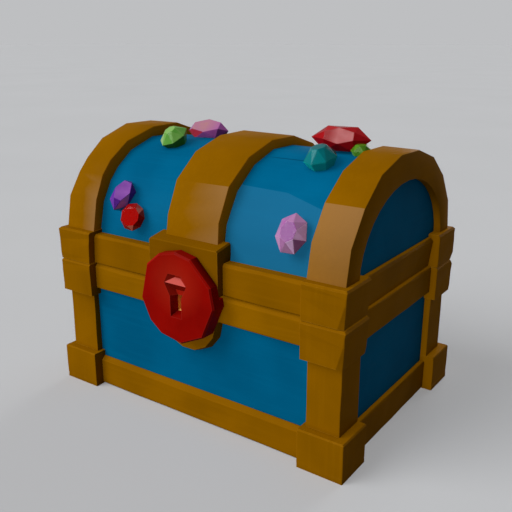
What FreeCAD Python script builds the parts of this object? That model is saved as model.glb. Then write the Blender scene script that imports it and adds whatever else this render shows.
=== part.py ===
import FreeCAD, Part
import math
import os

# Treasure chest box: a panelled case with a turning lock, and a vaulted lid on two back hinges.
# Sizes are in millimetres. X runs along the front, Y from front to back and Z up from the floor.
# Pieces are placed from the middle of the case. Each one is then moved back by FRAME_SHIFT, which puts
# the origin under the middle of the whole chest, from the medallion's face to the back of the feet.

# Case
CASE_LENGTH = 182.0
CASE_DEPTH = 122.0
RIM_HEIGHT = 80.0
PANEL_THICKNESS = 5.0
FLOOR_THICKNESS = 5.0

# Feet, corner posts and corner blocks, each measured from the faces of the case
FOOT_PROUD = 9.0
FOOT_FRONT_WIDTH = 26.5
FOOT_END_WIDTH = 24.3
FOOT_HEIGHT = 22.0
FOOT_SOLE = 3.0
FOOT_BEVEL = 0.6
POST_PROUD = 4.2
POST_WIDTH = 19.5
BLOCK_END_PROUD = 7.2
BLOCK_FRONT_PROUD = 8.2
BLOCK_WIDTH = 24.9
BLOCK_HEIGHT = 20.0
BLOCK_BEVEL = 1.0
BLOCK_TAPER = 1.6
BLOCK_TAPER_HEIGHT = 12.0
UPRIGHT_EDGE_BEVEL = 1.4
BLOCK_EDGE_BEVEL_LOW = 2.6
BLOCK_EDGE_BEVEL_HIGH = 0.5

# Rails
RAIL_PROUD = 3.2
RAIL_BEVEL = 2.6
RIM_RAIL_HEIGHT = 15.8
BOTTOM_RAIL_TOP = 18.4
BOTTOM_RAIL_LIFT = 0.4

# Lid rim and vault
LID_GAP = 0.4
LID_RIM_HEIGHT = 17.4
STAVE_COUNT = 9
STAVE_THICKNESS = 4.0
LID_END_THICKNESS = 4.0
VAULT_INSET = 3.5
VAULT_RISE = 52.4
END_BAND_THICKNESS = 7.5
LEFT_BAND_CROWN = 7.2
LEFT_BAND_WIDTH = 23.4
MIDDLE_BAND_THICKNESS = 9.4
MIDDLE_BAND_CROWN = 5.8
MIDDLE_BAND_WIDTH = 37.4
RIGHT_BAND_CROWN = 4.3
RIGHT_BAND_WIDTH = 21.2
END_BAND_PROUD = 4.2
ARCH_SIDE_WIDTH = 6.0
ARCH_TOP_WIDTH = 11.2

# Lock front
LOCK_PLATE_PROUD = 5.0
LOCK_PLATE_RADIUS = 21.0
LOCK_PLATE_TAPER = 1.6
LOCK_PLATE_DROP = 16.3
LOCK_PLATE_FACETS = 7
LOCK_BLOCK_PROUD = 7.5
LOCK_BLOCK_WIDTH = 47.0
LOCK_BLOCK_GAP = 0.5
LOCK_BLOCK_HEIGHT = 24.6
LOCK_BLOCK_BEVEL = 1.2
MEDALLION_RADIUS = 25.7
MEDALLION_THICKNESS = 9.0
MEDALLION_BEVEL = 0.9
MEDALLION_DROP = 3.4
MEDALLION_CORNERS = (24, 66, 90, 116, 142, 190, 221, 243, 276, 314, 358)
KEYHOLE_WIDTH = 15.6
KEYHOLE_HEAD_WIDTH = 9.6
KEYHOLE_RIDGE_RISE = 4.2
KEYHOLE_HEAD_RISE = 9.6
KEYHOLE_NECK_DROP = 2.6
KEYHOLE_RAMP_DEPTH = 2.2
KEYHOLE_FLARE_DEPTH = 4.0
KEYHOLE_SLOT_WIDTH = 7.6
KEYHOLE_SLOT_DROP = 14.0
KEYHOLE_SLOT_DRAFT = 0.5
KEYHOLE_SILL_SLOPE = 2.4
KEYHOLE_LAP = 0.3

# Lock works
LOCK_DROP = 7.5
BARREL_RADIUS = 3.5
BARREL_STANDOUT = 1.8
PLUG_RADIUS = 2.3
PLUG_HEAD_RADIUS = 2.9
PLUG_HEAD_LENGTH = 1.2
KEY_SLOT_WIDTH = 1.0
KEY_SLOT_HEIGHT = 3.4
KEY_SLOT_DEPTH = 9.0
NUT_FLAT_TO_FLAT = 10.0
NUT_THICKNESS = 2.6
CAM_THICKNESS = 1.5
CAM_WIDTH = 5.0
CAM_REACH = 15.0
CAM_NOSE_LENGTH = 4.0
CAM_NOSE_HEIGHT = 2.5
TENON_WIDTH = 2.8
RIVET_RADIUS = 2.2
RIVET_HEIGHT = 0.8
KEEPER_WIDTH = 30.0
KEEPER_HEIGHT = 8.0
KEEPER_THICKNESS = 1.5
KEEPER_TONGUE_WIDTH = 4.5
KEEPER_TONGUE_THICKNESS = 2.0
KEEPER_TONGUE_OVERLAP = 1.2
KEEPER_SCREW_INSET = 4.0

# Hinges and screws
HINGE_WIDTH = 24.0
HINGE_INSET = 11.3
LEAF_THICKNESS = 1.8
LEAF_HEIGHT = 11.6
KNUCKLE_RADIUS = 3.2
LID_KNUCKLE_LENGTH = 8.6
HINGE_PIN_RADIUS = 1.3
PIN_HEAD_RADIUS = 1.9
PIN_HEAD_LENGTH = 0.6
HINGE_SCREW_SPACING = 15.0
LID_STOP_SLOPE = 52.0
SCREW_HEAD_RADIUS = 1.9
SCREW_HEAD_HEIGHT = 1.1
SCREW_RADIUS = 0.9
SCREW_LENGTH = 5.5
SCREW_POINT = 1.2
SCREW_SLOT = 0.5

# Gems: sizes of each cut, its bay on the lid and its place along that from the middle, its place round
# the arch in degrees from the front, its girdle's height over the arch, and the degrees it leans forward,
# rolls sideways and spins
CULET_SHARE = 0.3
GEMS = {
    "ruby": dict(
        sides=6, length=34.0, width=16.0, crown=4.6, pavilion=14.0, table=0.56,
        bay="right", along=8.3, round_angle=90.4, lift=6.8, lean=64.5, roll=9.0, spin=4.0,
    ),
    "teal": dict(
        sides=7, length=18.2, width=20.5, crown=6.0, pavilion=12.0, table=0.45,
        bay="right", along=8.9, round_angle=68.9, lift=3.4, lean=-5.4, roll=-6.0, spin=12.0,
    ),
    "lime": dict(
        sides=6, length=12.0, width=11.0, crown=3.2, pavilion=8.0, table=0.55,
        bay="right", along=22.0, round_angle=88.0, lift=1.8, lean=0.0, roll=0.0, spin=10.0,
    ),
    "pink": dict(
        sides=7, length=21.5, width=17.1, crown=5.2, pavilion=12.0, table=0.5,
        bay="right", along=14.4, round_angle=21.1, lift=4.1, lean=-5.2, roll=8.0, spin=93.0,
    ),
    "green": dict(
        sides=7, length=18.3, width=18.6, crown=4.8, pavilion=12.0, table=0.4,
        bay="left", along=-3.5, round_angle=73.2, lift=4.6, lean=16.6, roll=-8.0, spin=-1.0,
    ),
    "rose": dict(
        sides=6, length=27.9, width=15.5, crown=4.4, pavilion=11.0, table=0.74,
        bay="left", along=1.0, round_angle=99.5, lift=3.6, lean=44.8, roll=6.0, spin=11.0,
    ),
    "violet": dict(
        sides=6, length=22.1, width=12.9, crown=5.4, pavilion=12.0, table=0.7,
        bay="left", along=-9.6, round_angle=25.2, lift=4.2, lean=-28.7, roll=30.0, spin=96.0,
    ),
    "red": dict(
        sides=9, length=16.2, width=15.1, crown=3.2, pavilion=11.0, table=0.7,
        bay="left", along=1.4, round_angle=14.3, lift=4.4, lean=-4.3, roll=18.0, spin=83.0,
    ),
}

# Fits
RUNNING_CLEARANCE = 0.05
MOVING_GAP = 0.3
SEATED_CLEARANCE = 0.03

# Places worked out from the sizes above
case_x = CASE_LENGTH / 2
case_y = CASE_DEPTH / 2
inside_x = case_x - PANEL_THICKNESS
inside_y = case_y - PANEL_THICKNESS
rail_x = case_x + RAIL_PROUD
rail_y = case_y + RAIL_PROUD
vault_y = case_y - VAULT_INSET
lid_inside_y = min(inside_y, vault_y - STAVE_THICKNESS)
foot_x = case_x + FOOT_PROUD
foot_y = case_y + FOOT_PROUD
block_x = case_x + BLOCK_END_PROUD
block_y = case_y + BLOCK_FRONT_PROUD
lid_bottom = RIM_HEIGHT + LID_GAP
lid_rim_top = lid_bottom + LID_RIM_HEIGHT
parting_z = RIM_HEIGHT + LID_GAP / 2
lock_z = RIM_HEIGHT - LOCK_DROP
lock_plate_y = case_y + LOCK_PLATE_PROUD
lock_block_y = case_y + LOCK_BLOCK_PROUD
medallion_z = parting_z - MEDALLION_DROP
medallion_y = lock_plate_y + MEDALLION_THICKNESS
leaf_y = rail_y + LEAF_THICKNESS
hinge_y = rail_y - RAIL_BEVEL - LID_GAP / 2 + math.sqrt(2) * (KNUCKLE_RADIUS + MOVING_GAP)
barrel_end_y = -lid_inside_y + BARREL_STANDOUT
cam_y = barrel_end_y + MOVING_GAP
FRAME_SHIFT = (medallion_y - foot_y) / 2

CORNERS = {
    "front_left": (-1, -1),
    "front_right": (1, -1),
    "back_left": (-1, 1),
    "back_right": (1, 1),
}


def face(points):
    """A flat face inside the closed outline through the points."""
    return Part.Face(Part.makePolygon(points + points[:1]))


def prism_x(outline, x0, x1):
    """A solid whose section is the (y, z) outline, from x0 to x1."""
    points = [FreeCAD.Vector(x0, y, z) for y, z in outline]
    return face(points).extrude(FreeCAD.Vector(x1 - x0, 0, 0))


def prism_y(outline, y0, y1):
    """A solid whose section is the (x, z) outline, from y0 to y1."""
    points = [FreeCAD.Vector(x, y0, z) for x, z in outline]
    return face(points).extrude(FreeCAD.Vector(0, y1 - y0, 0))


def prism_z(outline, z0, z1):
    """A solid whose section is the (x, y) outline, from z0 to z1."""
    points = [FreeCAD.Vector(x, y, z0) for x, y in outline]
    return face(points).extrude(FreeCAD.Vector(0, 0, z1 - z0))


def cuboid(x0, x1, y0, y1, z0, z1):
    """A box between the given planes."""
    return Part.makeBox(x1 - x0, y1 - y0, z1 - z0, FreeCAD.Vector(x0, y0, z0))


def cylinder_x(radius, x0, x1, y, z):
    """A round bar along X."""
    return Part.makeCylinder(radius, x1 - x0, FreeCAD.Vector(x0, y, z), FreeCAD.Vector(1, 0, 0))


def cylinder_y(radius, y0, y1, x, z):
    """A round bar along Y."""
    return Part.makeCylinder(radius, y1 - y0, FreeCAD.Vector(x, y0, z), FreeCAD.Vector(0, 1, 0))


def polyhedron(outlines):
    """A solid closed by flat faces, one for each outline."""
    solid = Part.Solid(Part.makeShell([face(points) for points in outlines]))
    if solid.Volume < 0:
        solid.reverse()
    return solid


def frustum(lower, upper):
    """A solid between two like outlines, with a flat side for each edge."""
    count = len(lower)
    sides = [
        [lower[i], lower[(i + 1) % count], upper[(i + 1) % count], upper[i]] for i in range(count)
    ]
    return polyhedron([lower, upper] + sides)


def flipped(shape, x_side, y_side):
    """The shape moved from the +X, +Y corner to the given corner by mirroring."""
    if x_side < 0:
        shape = shape.mirror(FreeCAD.Vector(), FreeCAD.Vector(1, 0, 0))
    if y_side < 0:
        shape = shape.mirror(FreeCAD.Vector(), FreeCAD.Vector(0, 1, 0))
    return shape


def save(node, *shapes):
    """Move a node's solids to the chest's own frame and write them."""
    moved = []
    for shape in shapes:
        for solid in shape.Solids:
            copy = solid.copy()
            copy.translate(FreeCAD.Vector(0, FRAME_SHIFT, 0))
            moved.append(copy)
    result = moved[0] if len(moved) == 1 else Part.makeCompound(moved)
    result.exportStep("parts/" + node + ".step")


def bevelled_section(inner, outer, z0, z1, low_bevel, high_bevel):
    """A section from inner to outer, its outer corners cut back by (depth, height)."""
    section = [(inner, z0), (outer - low_bevel[0], z0)]
    if low_bevel[1] > 0:
        section.append((outer, z0 + low_bevel[1]))
    if high_bevel[1] > 0:
        section.append((outer, z1 - high_bevel[1]))
    return section + [(outer - high_bevel[0], z1), (inner, z1)]


def corner_plan(inner, outer, edge, z):
    """A corner block's outline seen from above, its outer corner cut off by the edge bevel."""
    plan = [
        (inner[0], inner[1]),
        (outer[0], inner[1]),
        (outer[0], outer[1] - edge),
        (outer[0] - edge, outer[1]),
        (inner[0], outer[1]),
    ]
    return [FreeCAD.Vector(x, y, z) for x, y in plan]


def corner_piece(outer, width, z0, z1, end_bevels, face_bevels, edge_bevels):
    """A block round one corner: bevelled on the end, on the front or back and on the upright edge."""
    inner = (outer[0] - width[0], outer[1] - width[1])
    end_section = bevelled_section(inner[0], outer[0], z0, z1, *end_bevels)
    face_section = bevelled_section(inner[1], outer[1], z0, z1, *face_bevels)
    low_edge, high_edge = edge_bevels
    piece = frustum(corner_plan(inner, outer, low_edge, z0), corner_plan(inner, outer, high_edge, z1))
    piece = piece.common(prism_y(end_section, inner[1], outer[1]))
    return piece.common(prism_x(face_section, inner[0], outer[0]))


def even(size):
    """A bevel as deep as it is high."""
    return (size, size)


SQUARE = (0.0, 0.0)


# Case: front and back panels run the full length, the ends and the floor fit between them
def make_case():
    front = cuboid(-case_x, case_x, -case_y, -inside_y, FOOT_SOLE, RIM_HEIGHT)
    back = flipped(front, 1, -1)
    right = cuboid(inside_x, case_x, -inside_y, inside_y, FOOT_SOLE, RIM_HEIGHT)
    left = flipped(right, -1, 1)
    floor_top = FOOT_SOLE + FLOOR_THICKNESS
    floor = cuboid(-inside_x, inside_x, -inside_y, inside_y, FOOT_SOLE, floor_top)
    holes = [screw(place, SEATED_CLEARANCE) for place in base_hinge_screw_places()]
    save("floor_panel", floor)
    save("front_panel", front.cut(barrel_bore()))
    save("back_panel", back.cut(holes))
    save("left_panel", left)
    save("right_panel", right)


# Feet, posts and corner blocks: stacked at each corner, cut to fit round the case
def hinge_stop_bevel():
    """The bevel on the back blocks that lets the lid lean back and then stops it."""
    depth = max(block_y - hinge_y, BLOCK_BEVEL)
    return (depth, depth * math.tan(math.radians(LID_STOP_SLOPE)))


def make_corners():
    case_space = cuboid(-case_x, case_x, -case_y, case_y, FOOT_SOLE, RIM_HEIGHT + BLOCK_HEIGHT)
    lid_space = cuboid(-inside_x, inside_x, -lid_inside_y, lid_inside_y, lid_bottom, lid_rim_top)
    post = (case_x + POST_PROUD, case_y + POST_PROUD)
    block_bottom = RIM_HEIGHT - BLOCK_HEIGHT
    plain = even(BLOCK_BEVEL)
    taper = (BLOCK_TAPER, BLOCK_TAPER_HEIGHT)
    straight_edge = even(UPRIGHT_EDGE_BEVEL)
    block_edge = (BLOCK_EDGE_BEVEL_LOW, BLOCK_EDGE_BEVEL_HIGH)
    for corner, (x_side, y_side) in CORNERS.items():
        rim_top = hinge_stop_bevel() if y_side > 0 else plain
        lid_low = hinge_stop_bevel() if y_side > 0 else taper
        pieces = {
            "foot_": corner_piece(
                (foot_x, foot_y), (FOOT_FRONT_WIDTH, FOOT_END_WIDTH), 0.0, FOOT_HEIGHT,
                (SQUARE, even(FOOT_BEVEL)), (SQUARE, even(FOOT_BEVEL)), straight_edge,
            ).cut(case_space),
            "post_": corner_piece(
                post, (POST_WIDTH, POST_WIDTH), FOOT_HEIGHT, block_bottom,
                (SQUARE, SQUARE), (SQUARE, SQUARE), straight_edge,
            ).cut(case_space),
            "rim_block_": corner_piece(
                (block_x, block_y), (BLOCK_WIDTH, BLOCK_WIDTH), block_bottom, RIM_HEIGHT,
                (taper, plain), (taper, rim_top), block_edge,
            ).cut(case_space),
            "lid_block_": corner_piece(
                (block_x, block_y), (BLOCK_WIDTH, BLOCK_WIDTH), lid_bottom, lid_rim_top,
                (taper, plain), (lid_low, plain), block_edge,
            ).cut(lid_space),
        }
        for kind, piece in pieces.items():
            save(kind + corner, flipped(piece, x_side, y_side))


# Rails: straight mouldings between the feet and between the blocks
def rail_ring(inner, half_length, half_depth, z0, z1, low_bevel, high_bevel):
    """Back and right rails of one ring, each bevelled on its outer edges."""
    back_section = bevelled_section(inner[1], rail_y, z0, z1, low_bevel, high_bevel)
    right_section = bevelled_section(inner[0], rail_x, z0, z1, low_bevel, high_bevel)
    return prism_x(back_section, -half_length, half_length), prism_y(right_section, -half_depth, half_depth)


def save_ring(prefix, front, back, right):
    save(prefix + "front", front)
    save(prefix + "back", back)
    save(prefix + "right", right)
    save(prefix + "left", flipped(right, -1, 1))


def rim_rails():
    z0 = RIM_HEIGHT - RIM_RAIL_HEIGHT
    return rail_ring(
        (case_x, case_y), block_x - BLOCK_WIDTH, block_y - BLOCK_WIDTH, z0, RIM_HEIGHT,
        SQUARE, even(RAIL_BEVEL),
    )


def lid_rails():
    return rail_ring(
        (inside_x, lid_inside_y), block_x - BLOCK_WIDTH, block_y - BLOCK_WIDTH, lid_bottom, lid_rim_top,
        even(RAIL_BEVEL), even(BLOCK_BEVEL),
    )


def make_rails():
    bottom_back, bottom_right = rail_ring(
        (case_x, case_y), foot_x - FOOT_FRONT_WIDTH, foot_y - FOOT_END_WIDTH,
        BOTTOM_RAIL_LIFT, BOTTOM_RAIL_TOP, SQUARE, even(RAIL_BEVEL),
    )
    save_ring("bottom_rail_", flipped(bottom_back, 1, -1), bottom_back, bottom_right)
    rim_back, rim_right = rim_rails()
    base_holes = [screw(place, SEATED_CLEARANCE) for place in base_hinge_screw_places()]
    rim_front = flipped(rim_back, 1, -1).cut(barrel_bore())
    save_ring("rim_rail_", rim_front, rim_back.cut(base_holes), rim_right)
    lid_back, lid_right = lid_rails()
    lid_holes = [screw(place, SEATED_CLEARANCE) for place in lid_hinge_screw_places()]
    keeper_holes = [screw(place, SEATED_CLEARANCE) for place in keeper_screw_places()]
    lid_front = flipped(lid_back, 1, -1).cut(keeper_holes)
    save_ring("lid_rail_", lid_front, lid_back.cut(lid_holes), lid_right)


# Lid vault: staves, end panels and bands share the same facets
def vault_outline(half_width, rise):
    """Corners of the faceted half ellipse that stands on the lid rim, from front to back."""
    outline = []
    for step in range(STAVE_COUNT + 1):
        angle = math.pi * step / STAVE_COUNT
        outline.append((-half_width * math.cos(angle), lid_rim_top + rise * math.sin(angle)))
    return outline


def vault_solid(half_width, rise, x0, x1):
    return prism_x(vault_outline(half_width, rise), x0, x1)


def vault_core():
    """Everything under the outside of the staves."""
    return vault_solid(vault_y, VAULT_RISE, -foot_x, foot_x)


def make_staves():
    outer = vault_outline(vault_y, VAULT_RISE)
    inner = vault_outline(vault_y - STAVE_THICKNESS, VAULT_RISE - STAVE_THICKNESS)
    staves = []
    for i in range(STAVE_COUNT):
        section = [outer[i], outer[i + 1], inner[i + 1], inner[i]]
        staves.append(prism_x(section, -case_x, case_x))
    save("lid_staves", *staves)
    end = prism_x(inner, case_x - LID_END_THICKNESS, case_x)
    save("lid_end_right", end)
    save("lid_end_left", flipped(end, -1, 1))


def band_blank(thickness, crown, x0, x1):
    """The space under a band's outside, with its thickness at the rim and its crown on top."""
    return vault_solid(vault_y + thickness, VAULT_RISE + crown, x0, x1)


def end_band(crown, width):
    """A right-hand end band: a strap over the staves that turns down into an arch on the lid's end."""
    end_face = case_x + END_BAND_PROUD
    inside_staves = vault_solid(vault_y, VAULT_RISE, 0.0, case_x)
    arch = vault_solid(vault_y - ARCH_SIDE_WIDTH, VAULT_RISE - ARCH_TOP_WIDTH, case_x, end_face)
    return band_blank(END_BAND_THICKNESS, crown, end_face - width, end_face).cut([inside_staves, arch])


def bands():
    half = MIDDLE_BAND_WIDTH / 2
    middle = band_blank(MIDDLE_BAND_THICKNESS, MIDDLE_BAND_CROWN, -half, half)
    return {
        "left": flipped(end_band(LEFT_BAND_CROWN, LEFT_BAND_WIDTH), -1, 1),
        "middle": middle.cut([vault_core(), lock_block_blank()]),
        "right": end_band(RIGHT_BAND_CROWN, RIGHT_BAND_WIDTH),
    }


def make_bands():
    for place, band in bands().items():
        save("lid_band_" + place, band)


# Lock front: a plate on the case carries the medallion, which also covers a block on the lid
def lock_block_blank():
    half = LOCK_BLOCK_WIDTH / 2
    top = lid_bottom + LOCK_BLOCK_HEIGHT
    bevel = LOCK_BLOCK_BEVEL
    front_view = [
        (-half, lid_bottom), (half, lid_bottom), (half, top - bevel),
        (half - bevel, top), (-half + bevel, top), (-half, top - bevel),
    ]
    side_view = [
        (-lock_block_y, lid_bottom), (-lock_block_y, top - bevel), (-lock_block_y + bevel, top),
        (0.0, top), (0.0, lid_bottom),
    ]
    blank = prism_y(front_view, -lock_block_y, 0.0)
    return blank.common(prism_x(side_view, -half, half))


def plate_outline(radius, y):
    """The lock plate's outline at one depth: level on top, faceted round below."""
    centre_z = RIM_HEIGHT - LOCK_PLATE_DROP
    corners = [FreeCAD.Vector(radius, y, RIM_HEIGHT), FreeCAD.Vector(-radius, y, RIM_HEIGHT)]
    for step in range(LOCK_PLATE_FACETS + 1):
        angle = math.pi + math.pi * step / LOCK_PLATE_FACETS
        corners.append(FreeCAD.Vector(radius * math.cos(angle), y, centre_z + radius * math.sin(angle)))
    return corners


def make_lock_front():
    lid_rail_space = cuboid(-foot_x, foot_x, -rail_y, 0.0, lid_bottom, lid_rim_top)
    save("lid_lock_block", lock_block_blank().cut([lid_rail_space, vault_core()]))

    rim_rail_space = cuboid(-foot_x, foot_x, -rail_y, 0.0, RIM_HEIGHT - RIM_RAIL_HEIGHT, RIM_HEIGHT)
    seat = plate_outline(LOCK_PLATE_RADIUS, -case_y)
    plate = frustum(seat, plate_outline(LOCK_PLATE_RADIUS - LOCK_PLATE_TAPER, -lock_plate_y))
    save("lock_plate", plate.cut([rim_rail_space, barrel_bore()]))


def ring_in_front(radius, directions, centre_z, y):
    """Corners round a centre on the front's middle line, at the given directions in degrees."""
    corners = []
    for direction in directions:
        angle = math.radians(direction)
        corners.append(FreeCAD.Vector(radius * math.cos(angle), y, centre_z + radius * math.sin(angle)))
    return corners


def medallion_outline(radius, y):
    return ring_in_front(radius, MEDALLION_CORNERS, medallion_z, y)


def trapezium(low_half, high_half, low_z, high_z, y, scale=1.0, about_z=0.0):
    """A level-topped outline in front of the lock, drawn smaller towards a point on the middle line."""
    corners = [(-low_half, low_z), (low_half, low_z), (high_half, high_z), (-high_half, high_z)]
    return [FreeCAD.Vector(x * scale, y, about_z + (z - about_z) * scale) for x, z in corners]


def keyhole_tools():
    """What the keyhole takes away: a ramp under its head, a flare below that and a slot to the lock."""
    ridge_z = lid_bottom + KEYHOLE_RIDGE_RISE
    head_z = lid_bottom + KEYHOLE_HEAD_RISE
    neck_z = RIM_HEIGHT - KEYHOLE_NECK_DROP
    sill_z = RIM_HEIGHT - KEYHOLE_SLOT_DROP
    slot_top_z = neck_z + KEYHOLE_LAP
    half = KEYHOLE_WIDTH / 2
    slot_half = KEYHOLE_SLOT_WIDTH / 2
    head = (half, KEYHOLE_HEAD_WIDTH / 2, ridge_z, head_z)
    flare = (slot_half, half, neck_z, ridge_z + KEYHOLE_LAP)
    shrink_to = head_z - KEYHOLE_LAP * 3
    ramp = frustum(
        trapezium(*head, -medallion_y),
        trapezium(*head, -medallion_y + KEYHOLE_RAMP_DEPTH, 0.25, shrink_to),
    )
    neck = frustum(
        trapezium(*flare, -medallion_y),
        trapezium(*flare, -medallion_y + KEYHOLE_FLARE_DEPTH, 0.4, neck_z),
    )
    inner_half = slot_half - KEYHOLE_SLOT_DRAFT
    slot = frustum(
        trapezium(slot_half, slot_half, sill_z, slot_top_z, -medallion_y),
        trapezium(inner_half, inner_half, sill_z + KEYHOLE_SILL_SLOPE, slot_top_z, -lock_plate_y),
    )
    return [ramp, neck, slot]


def lid_block_recess():
    """Room behind the medallion's upper half for the lid's lock block."""
    top = medallion_z + MEDALLION_RADIUS
    return cuboid(-foot_x, foot_x, -lock_block_y - LOCK_BLOCK_GAP, -lock_plate_y, RIM_HEIGHT, top)


def make_medallion():
    rim = medallion_outline(MEDALLION_RADIUS, -medallion_y + MEDALLION_BEVEL)
    disc = frustum(medallion_outline(MEDALLION_RADIUS, -lock_plate_y), rim)
    bevel = frustum(rim, medallion_outline(MEDALLION_RADIUS - MEDALLION_BEVEL, -medallion_y))
    whole = disc.fuse(bevel).removeSplitter()
    save("lock_medallion", whole.cut([lid_block_recess(), *keyhole_tools()]))


# Lock works: barrel and nut stay in the case, plug and cam turn together
def barrel_bore():
    return cylinder_y(BARREL_RADIUS + SEATED_CLEARANCE, -lock_plate_y, -inside_y, 0.0, lock_z)


def make_lock_barrel():
    head_seat_y = -lock_plate_y + MOVING_GAP + PLUG_HEAD_LENGTH + RUNNING_CLEARANCE
    barrel = cylinder_y(BARREL_RADIUS, -lock_plate_y, barrel_end_y, 0.0, lock_z)
    bore = cylinder_y(PLUG_RADIUS + RUNNING_CLEARANCE, -lock_plate_y, barrel_end_y, 0.0, lock_z)
    seat = cylinder_y(PLUG_HEAD_RADIUS + RUNNING_CLEARANCE, -lock_plate_y, head_seat_y, 0.0, lock_z)
    save("lock_barrel", barrel.cut([bore, seat]))

    corner_radius = NUT_FLAT_TO_FLAT / math.sqrt(3)
    hexagon = []
    for step in range(6):
        angle = math.pi * step / 3
        hexagon.append((corner_radius * math.cos(angle), lock_z + corner_radius * math.sin(angle)))
    nut = prism_y(hexagon, -inside_y, -inside_y + NUT_THICKNESS)
    thread = cylinder_y(BARREL_RADIUS + SEATED_CLEARANCE, -inside_y, -inside_y + NUT_THICKNESS, 0.0, lock_z)
    save("lock_nut", nut.cut(thread))


def make_lock_core():
    front_y = -lock_plate_y + MOVING_GAP
    cam_back_y = cam_y + CAM_THICKNESS
    half_tenon = TENON_WIDTH / 2
    plug = cylinder_y(PLUG_RADIUS, front_y, cam_y, 0.0, lock_z)
    head = cylinder_y(PLUG_HEAD_RADIUS, front_y, front_y + PLUG_HEAD_LENGTH, 0.0, lock_z)
    tenon = cuboid(-half_tenon, half_tenon, cam_y, cam_back_y, lock_z - half_tenon, lock_z + half_tenon)
    rivet = cylinder_y(RIVET_RADIUS, cam_back_y, cam_back_y + RIVET_HEIGHT, 0.0, lock_z)
    key_slot = cuboid(
        -KEY_SLOT_WIDTH / 2, KEY_SLOT_WIDTH / 2, front_y, front_y + KEY_SLOT_DEPTH,
        lock_z - KEY_SLOT_HEIGHT / 2, lock_z + KEY_SLOT_HEIGHT / 2,
    )
    save("lock_plug", plug.fuse([head, tenon, rivet]).cut(key_slot))

    half = CAM_WIDTH / 2
    arm = [
        (-half, lock_z - half), (CAM_REACH, lock_z - half), (CAM_REACH, lock_z + half + CAM_NOSE_LENGTH),
        (CAM_REACH - CAM_NOSE_HEIGHT, lock_z + half + CAM_NOSE_LENGTH),
        (CAM_REACH - CAM_NOSE_HEIGHT, lock_z + half), (-half, lock_z + half),
    ]
    hole_half = half_tenon + SEATED_CLEARANCE
    hole = cuboid(-hole_half, hole_half, cam_y, cam_back_y, lock_z - hole_half, lock_z + hole_half)
    save("lock_cam", prism_y(arm, cam_y, cam_back_y).cut(hole))


# Keeper: when the cam stands up, its nose lies over this tongue
def keeper_bottom():
    """The nose's underside when locked, less the gap and the tongue's thickness."""
    return lock_z + CAM_REACH - CAM_NOSE_HEIGHT - MOVING_GAP - KEEPER_TONGUE_THICKNESS


def keeper_screw_places():
    z = keeper_bottom() + KEEPER_HEIGHT / 2
    y = -lid_inside_y + KEEPER_THICKNESS
    x = KEEPER_WIDTH / 2 - KEEPER_SCREW_INSET
    return [(-x, y, z), (x, y, z)]


def make_keeper():
    half = KEEPER_WIDTH / 2
    plate_y = -lid_inside_y + KEEPER_THICKNESS
    bottom = keeper_bottom()
    plate = cuboid(-half, half, -lid_inside_y, plate_y, bottom, bottom + KEEPER_HEIGHT)
    tongue_x1 = -CAM_WIDTH / 2 - MOVING_GAP
    tongue_y1 = cam_y + CAM_THICKNESS + KEEPER_TONGUE_OVERLAP
    tongue = cuboid(
        tongue_x1 - KEEPER_TONGUE_WIDTH, tongue_x1, plate_y, tongue_y1,
        bottom, bottom + KEEPER_TONGUE_THICKNESS,
    )
    holes = [screw(place, SEATED_CLEARANCE) for place in keeper_screw_places()]
    save("keeper", plate.fuse(tongue).removeSplitter().cut(holes))


# Screws: one countersunk pattern, always driven towards the front
def screw(place, clearance):
    """A countersunk screw, or its hole when the clearance is more than nothing."""
    x, y, z = place
    towards_front = FreeCAD.Vector(0, -1, 0)
    head_radius = SCREW_HEAD_RADIUS + clearance
    shank_radius = SCREW_RADIUS + clearance
    shank_length = SCREW_LENGTH - SCREW_POINT
    head = Part.makeCone(
        head_radius, shank_radius, SCREW_HEAD_HEIGHT, FreeCAD.Vector(x, y, z), towards_front
    )
    shank = Part.makeCylinder(shank_radius, shank_length, FreeCAD.Vector(x, y, z), towards_front)
    point = Part.makeCone(
        shank_radius, clearance, SCREW_POINT, FreeCAD.Vector(x, y - shank_length, z), towards_front
    )
    body = head.fuse([shank, point])
    if clearance > 0:
        return body
    slot_half = SCREW_SLOT / 2
    slot = cuboid(x - head_radius, x + head_radius, y - SCREW_SLOT, y, z - slot_half, z + slot_half)
    return body.cut(slot)


def hinge_centres():
    """Each hinge is set in from the corner block beside it."""
    x = block_x - BLOCK_WIDTH - HINGE_INSET - HINGE_WIDTH / 2
    return (-x, x)


def hinge_screw_places(z):
    half = HINGE_SCREW_SPACING / 2
    return [(x + side, leaf_y, z) for x in hinge_centres() for side in (-half, half)]


def leaf_edge():
    """How far each leaf's plate stays from the hinge axis, clear of the other leaf's knuckles."""
    return KNUCKLE_RADIUS + MOVING_GAP


def base_hinge_screw_places():
    return hinge_screw_places(parting_z - leaf_edge() - LEAF_HEIGHT / 2)


def lid_hinge_screw_places():
    return hinge_screw_places(parting_z + leaf_edge() + LEAF_HEIGHT / 2)


# Hinges: the lid leaf has the middle knuckle, the case leaf the outer two
def hinge_leaf(spans, x0, x1, up):
    """A leaf on the back rail with a knuckle on each span, the plate above or below the axis."""
    edge_z = parting_z + up * leaf_edge()
    far_z = parting_z + up * (leaf_edge() + LEAF_HEIGHT)
    leaf = cuboid(x0, x1, rail_y, leaf_y, min(edge_z, far_z), max(edge_z, far_z))
    pin_hole = cylinder_x(HINGE_PIN_RADIUS + RUNNING_CLEARANCE, x0, x1, hinge_y, parting_z)
    for start, end in spans:
        tab = cuboid(start, end, rail_y, leaf_y, min(edge_z, parting_z), max(edge_z, parting_z))
        knuckle = cylinder_x(KNUCKLE_RADIUS, start, end, hinge_y, parting_z)
        leaf = leaf.fuse([tab, knuckle])
    return leaf.removeSplitter().cut(pin_hole)


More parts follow.
